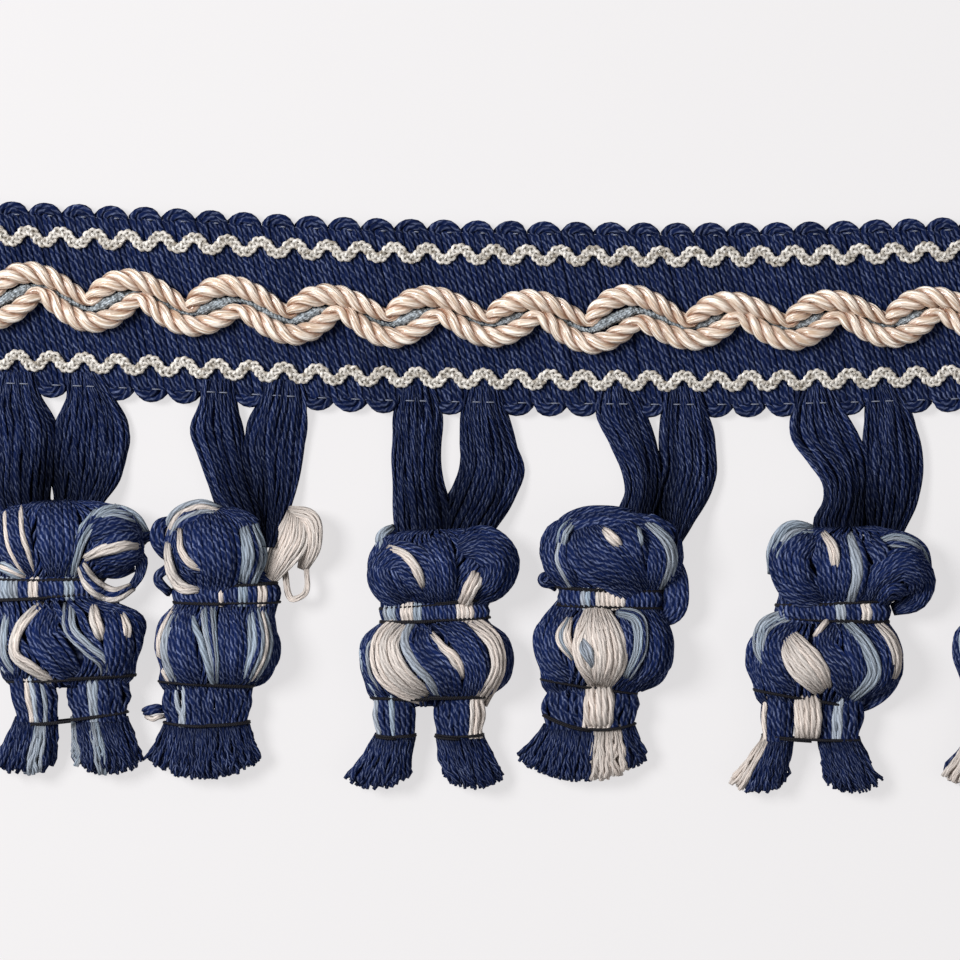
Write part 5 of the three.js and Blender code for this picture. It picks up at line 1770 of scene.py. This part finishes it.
class TRIM_OT_wind_ties(bpy.types.Operator):
    """Wind the black thread ties round each tassel"""

    bl_idname = "trim.wind_ties"
    bl_label = "Wind Ties"

    def execute(self, context):
        finish = thread_finish("tie_thread", context.scene.trim_cords.tie, TIE_THREAD_PITCH)
        for index in range(TASSEL_COUNT):
            rng = np.random.default_rng(TIE_SEED + index)
            body = Body(index)
            work = Strands()
            nodes = []
            upper_tilt, lower_tilt, belly_tilt, foot_tilt = TIE_TILTS[index]

            def round_body(y, body=body):
                return body.sections((body.crown_y - y) / body.row.stretch)

            for along, name, tilt in (
                (UPPER_WAIST_TIE, "waist_tie_upper", upper_tilt),
                (LOWER_WAIST_TIE, "waist_tie_lower", lower_tilt),
                (BELLY_TIE, "belly_tie", belly_tilt),
            ):
                half = float(body.sections(along)[1])
                tie_winding(work, round_body, body.y_at(along), half, tilt, BODY_TIE_SAG, rng)
                nodes.append(f"tassel_{index + 1}_{name}")
            legs = [leg for leg in TASSEL_LEGS if leg.tassel == index]
            split = index in TASSELS_WITH_SPLIT_FOOT_TIE
            groups = [[leg] for leg in legs] if split else [legs]
            for number, group in enumerate(groups, 1):
                left = body.x + min(leg.tie_x - leg.tie_half for leg in group)
                right = body.x + max(leg.tie_x + leg.tie_half for leg in group)

                def round_foot(y, left=left, right=right):
                    return (left + right) / 2, (right - left) / 2 - TIE_REACH, FOOT_TIE_HEIGHT, FOOT_TIE_Z

                y = body.y_at(FOOT_TIE)
                tie_winding(work, round_foot, y, (right - left) / 2, foot_tilt, FOOT_TIE_SAGS[index], rng)
                nodes.append(f"tassel_{index + 1}_foot_tie" + (f"_{number}" if split else ""))
            piece = f"tassel_ties_{index + 1}"
            add_piece(piece, work.mesh(piece), finish, nodes)
        return {"FINISHED"}


class TRIM_OT_set_stage(bpy.types.Operator):
    """Set the pale floor, the soft lights and the camera straight above the trim"""

    bl_idname = "trim.set_stage"
    bl_label = "Set Stage"

    def execute(self, context):
        scene = context.scene
        stage = scene.trim_stage
        bm = bmesh.new()
        bmesh.ops.create_grid(bm, x_segments=FLOOR_CELLS, y_segments=FLOOR_CELLS, size=FLOOR_HALF_WIDTH)
        mesh = bpy.data.meshes.new("studio_floor")
        bm.to_mesh(mesh)
        bm.free()
        mesh.materials.append(floor_finish(stage))
        floor = bpy.data.objects.new("studio_floor", mesh)
        scene.collection.objects.link(floor)

        world = bpy.data.worlds.new("studio_world")
        world.use_nodes = True
        background = world.node_tree.nodes["Background"]
        background.inputs["Strength"].default_value = stage.ambient
        background.inputs["Color"].default_value = (1.0, 1.0, 1.0, 1.0)
        scene.world = world

        for name, share, size, place in LAMPS:
            lamp = bpy.data.lights.new(name, "AREA")
            lamp.energy = share * stage.key_power
            lamp.shape = "DISK"
            lamp.size = size
            light = bpy.data.objects.new(name, lamp)
            light.location = place
            light.rotation_euler = (-light.location).to_track_quat("-Z", "Y").to_euler()
            scene.collection.objects.link(light)

        lens = bpy.data.cameras.new("camera")
        lens.lens = stage.lens
        lens.sensor_width = SENSOR_WIDTH
        lens.clip_end = VIEW_DEPTH
        camera = bpy.data.objects.new("camera", lens)
        away = stage.frame_width * stage.lens / SENSOR_WIDTH
        x, y, z = stage.frame_middle
        camera.location = (x, y, z + away)
        scene.collection.objects.link(camera)
        scene.camera = camera
        scene.view_settings.view_transform = "Standard"
        return {"FINISHED"}


OPERATORS = (
    TRIM_OT_weave_band,
    TRIM_OT_lay_zigzags,
    TRIM_OT_twist_cords,
    TRIM_OT_lay_fine_cord,
    TRIM_OT_sew_edges,
    TRIM_OT_hang_hangers,
    TRIM_OT_dress_tassels,
    TRIM_OT_wind_ties,
    TRIM_OT_set_stage,
)


class TRIM_PT_sidebar(bpy.types.Panel):
    """Lists the trim's settings and steps"""

    bl_idname = "TRIM_PT_sidebar"
    bl_label = "Braid Trim"
    bl_space_type = "VIEW_3D"
    bl_region_type = "UI"
    bl_category = "Braid Trim"

    def draw(self, context):
        layout = self.layout
        for group in (context.scene.trim_yarns, context.scene.trim_cords, context.scene.trim_stage):
            column = layout.column()
            for name in group.__annotations__:
                column.prop(group, name)
        for operator in OPERATORS:
            layout.operator(operator.bl_idname)


CLASSES = (TrimYarns, TrimCords, TrimStage, *OPERATORS, TRIM_PT_sidebar)


def register():
    for item in CLASSES:
        bpy.utils.register_class(item)
    bpy.types.Scene.trim_yarns = bpy.props.PointerProperty(type=TrimYarns)
    bpy.types.Scene.trim_cords = bpy.props.PointerProperty(type=TrimCords)
    bpy.types.Scene.trim_stage = bpy.props.PointerProperty(type=TrimStage)


def unregister():
    del bpy.types.Scene.trim_stage
    del bpy.types.Scene.trim_cords
    del bpy.types.Scene.trim_yarns
    for item in reversed(CLASSES):
        bpy.utils.unregister_class(item)


def main():
    """Build every piece in order."""
    register()
    bpy.ops.trim.set_stage()
    bpy.ops.trim.weave_band()
    bpy.ops.trim.lay_zigzags()
    bpy.ops.trim.twist_cords()
    bpy.ops.trim.lay_fine_cord()
    bpy.ops.trim.sew_edges()
    bpy.ops.trim.hang_hangers()
    bpy.ops.trim.dress_tassels()
    bpy.ops.trim.wind_ties()


if __name__ == "__main__":
    main()
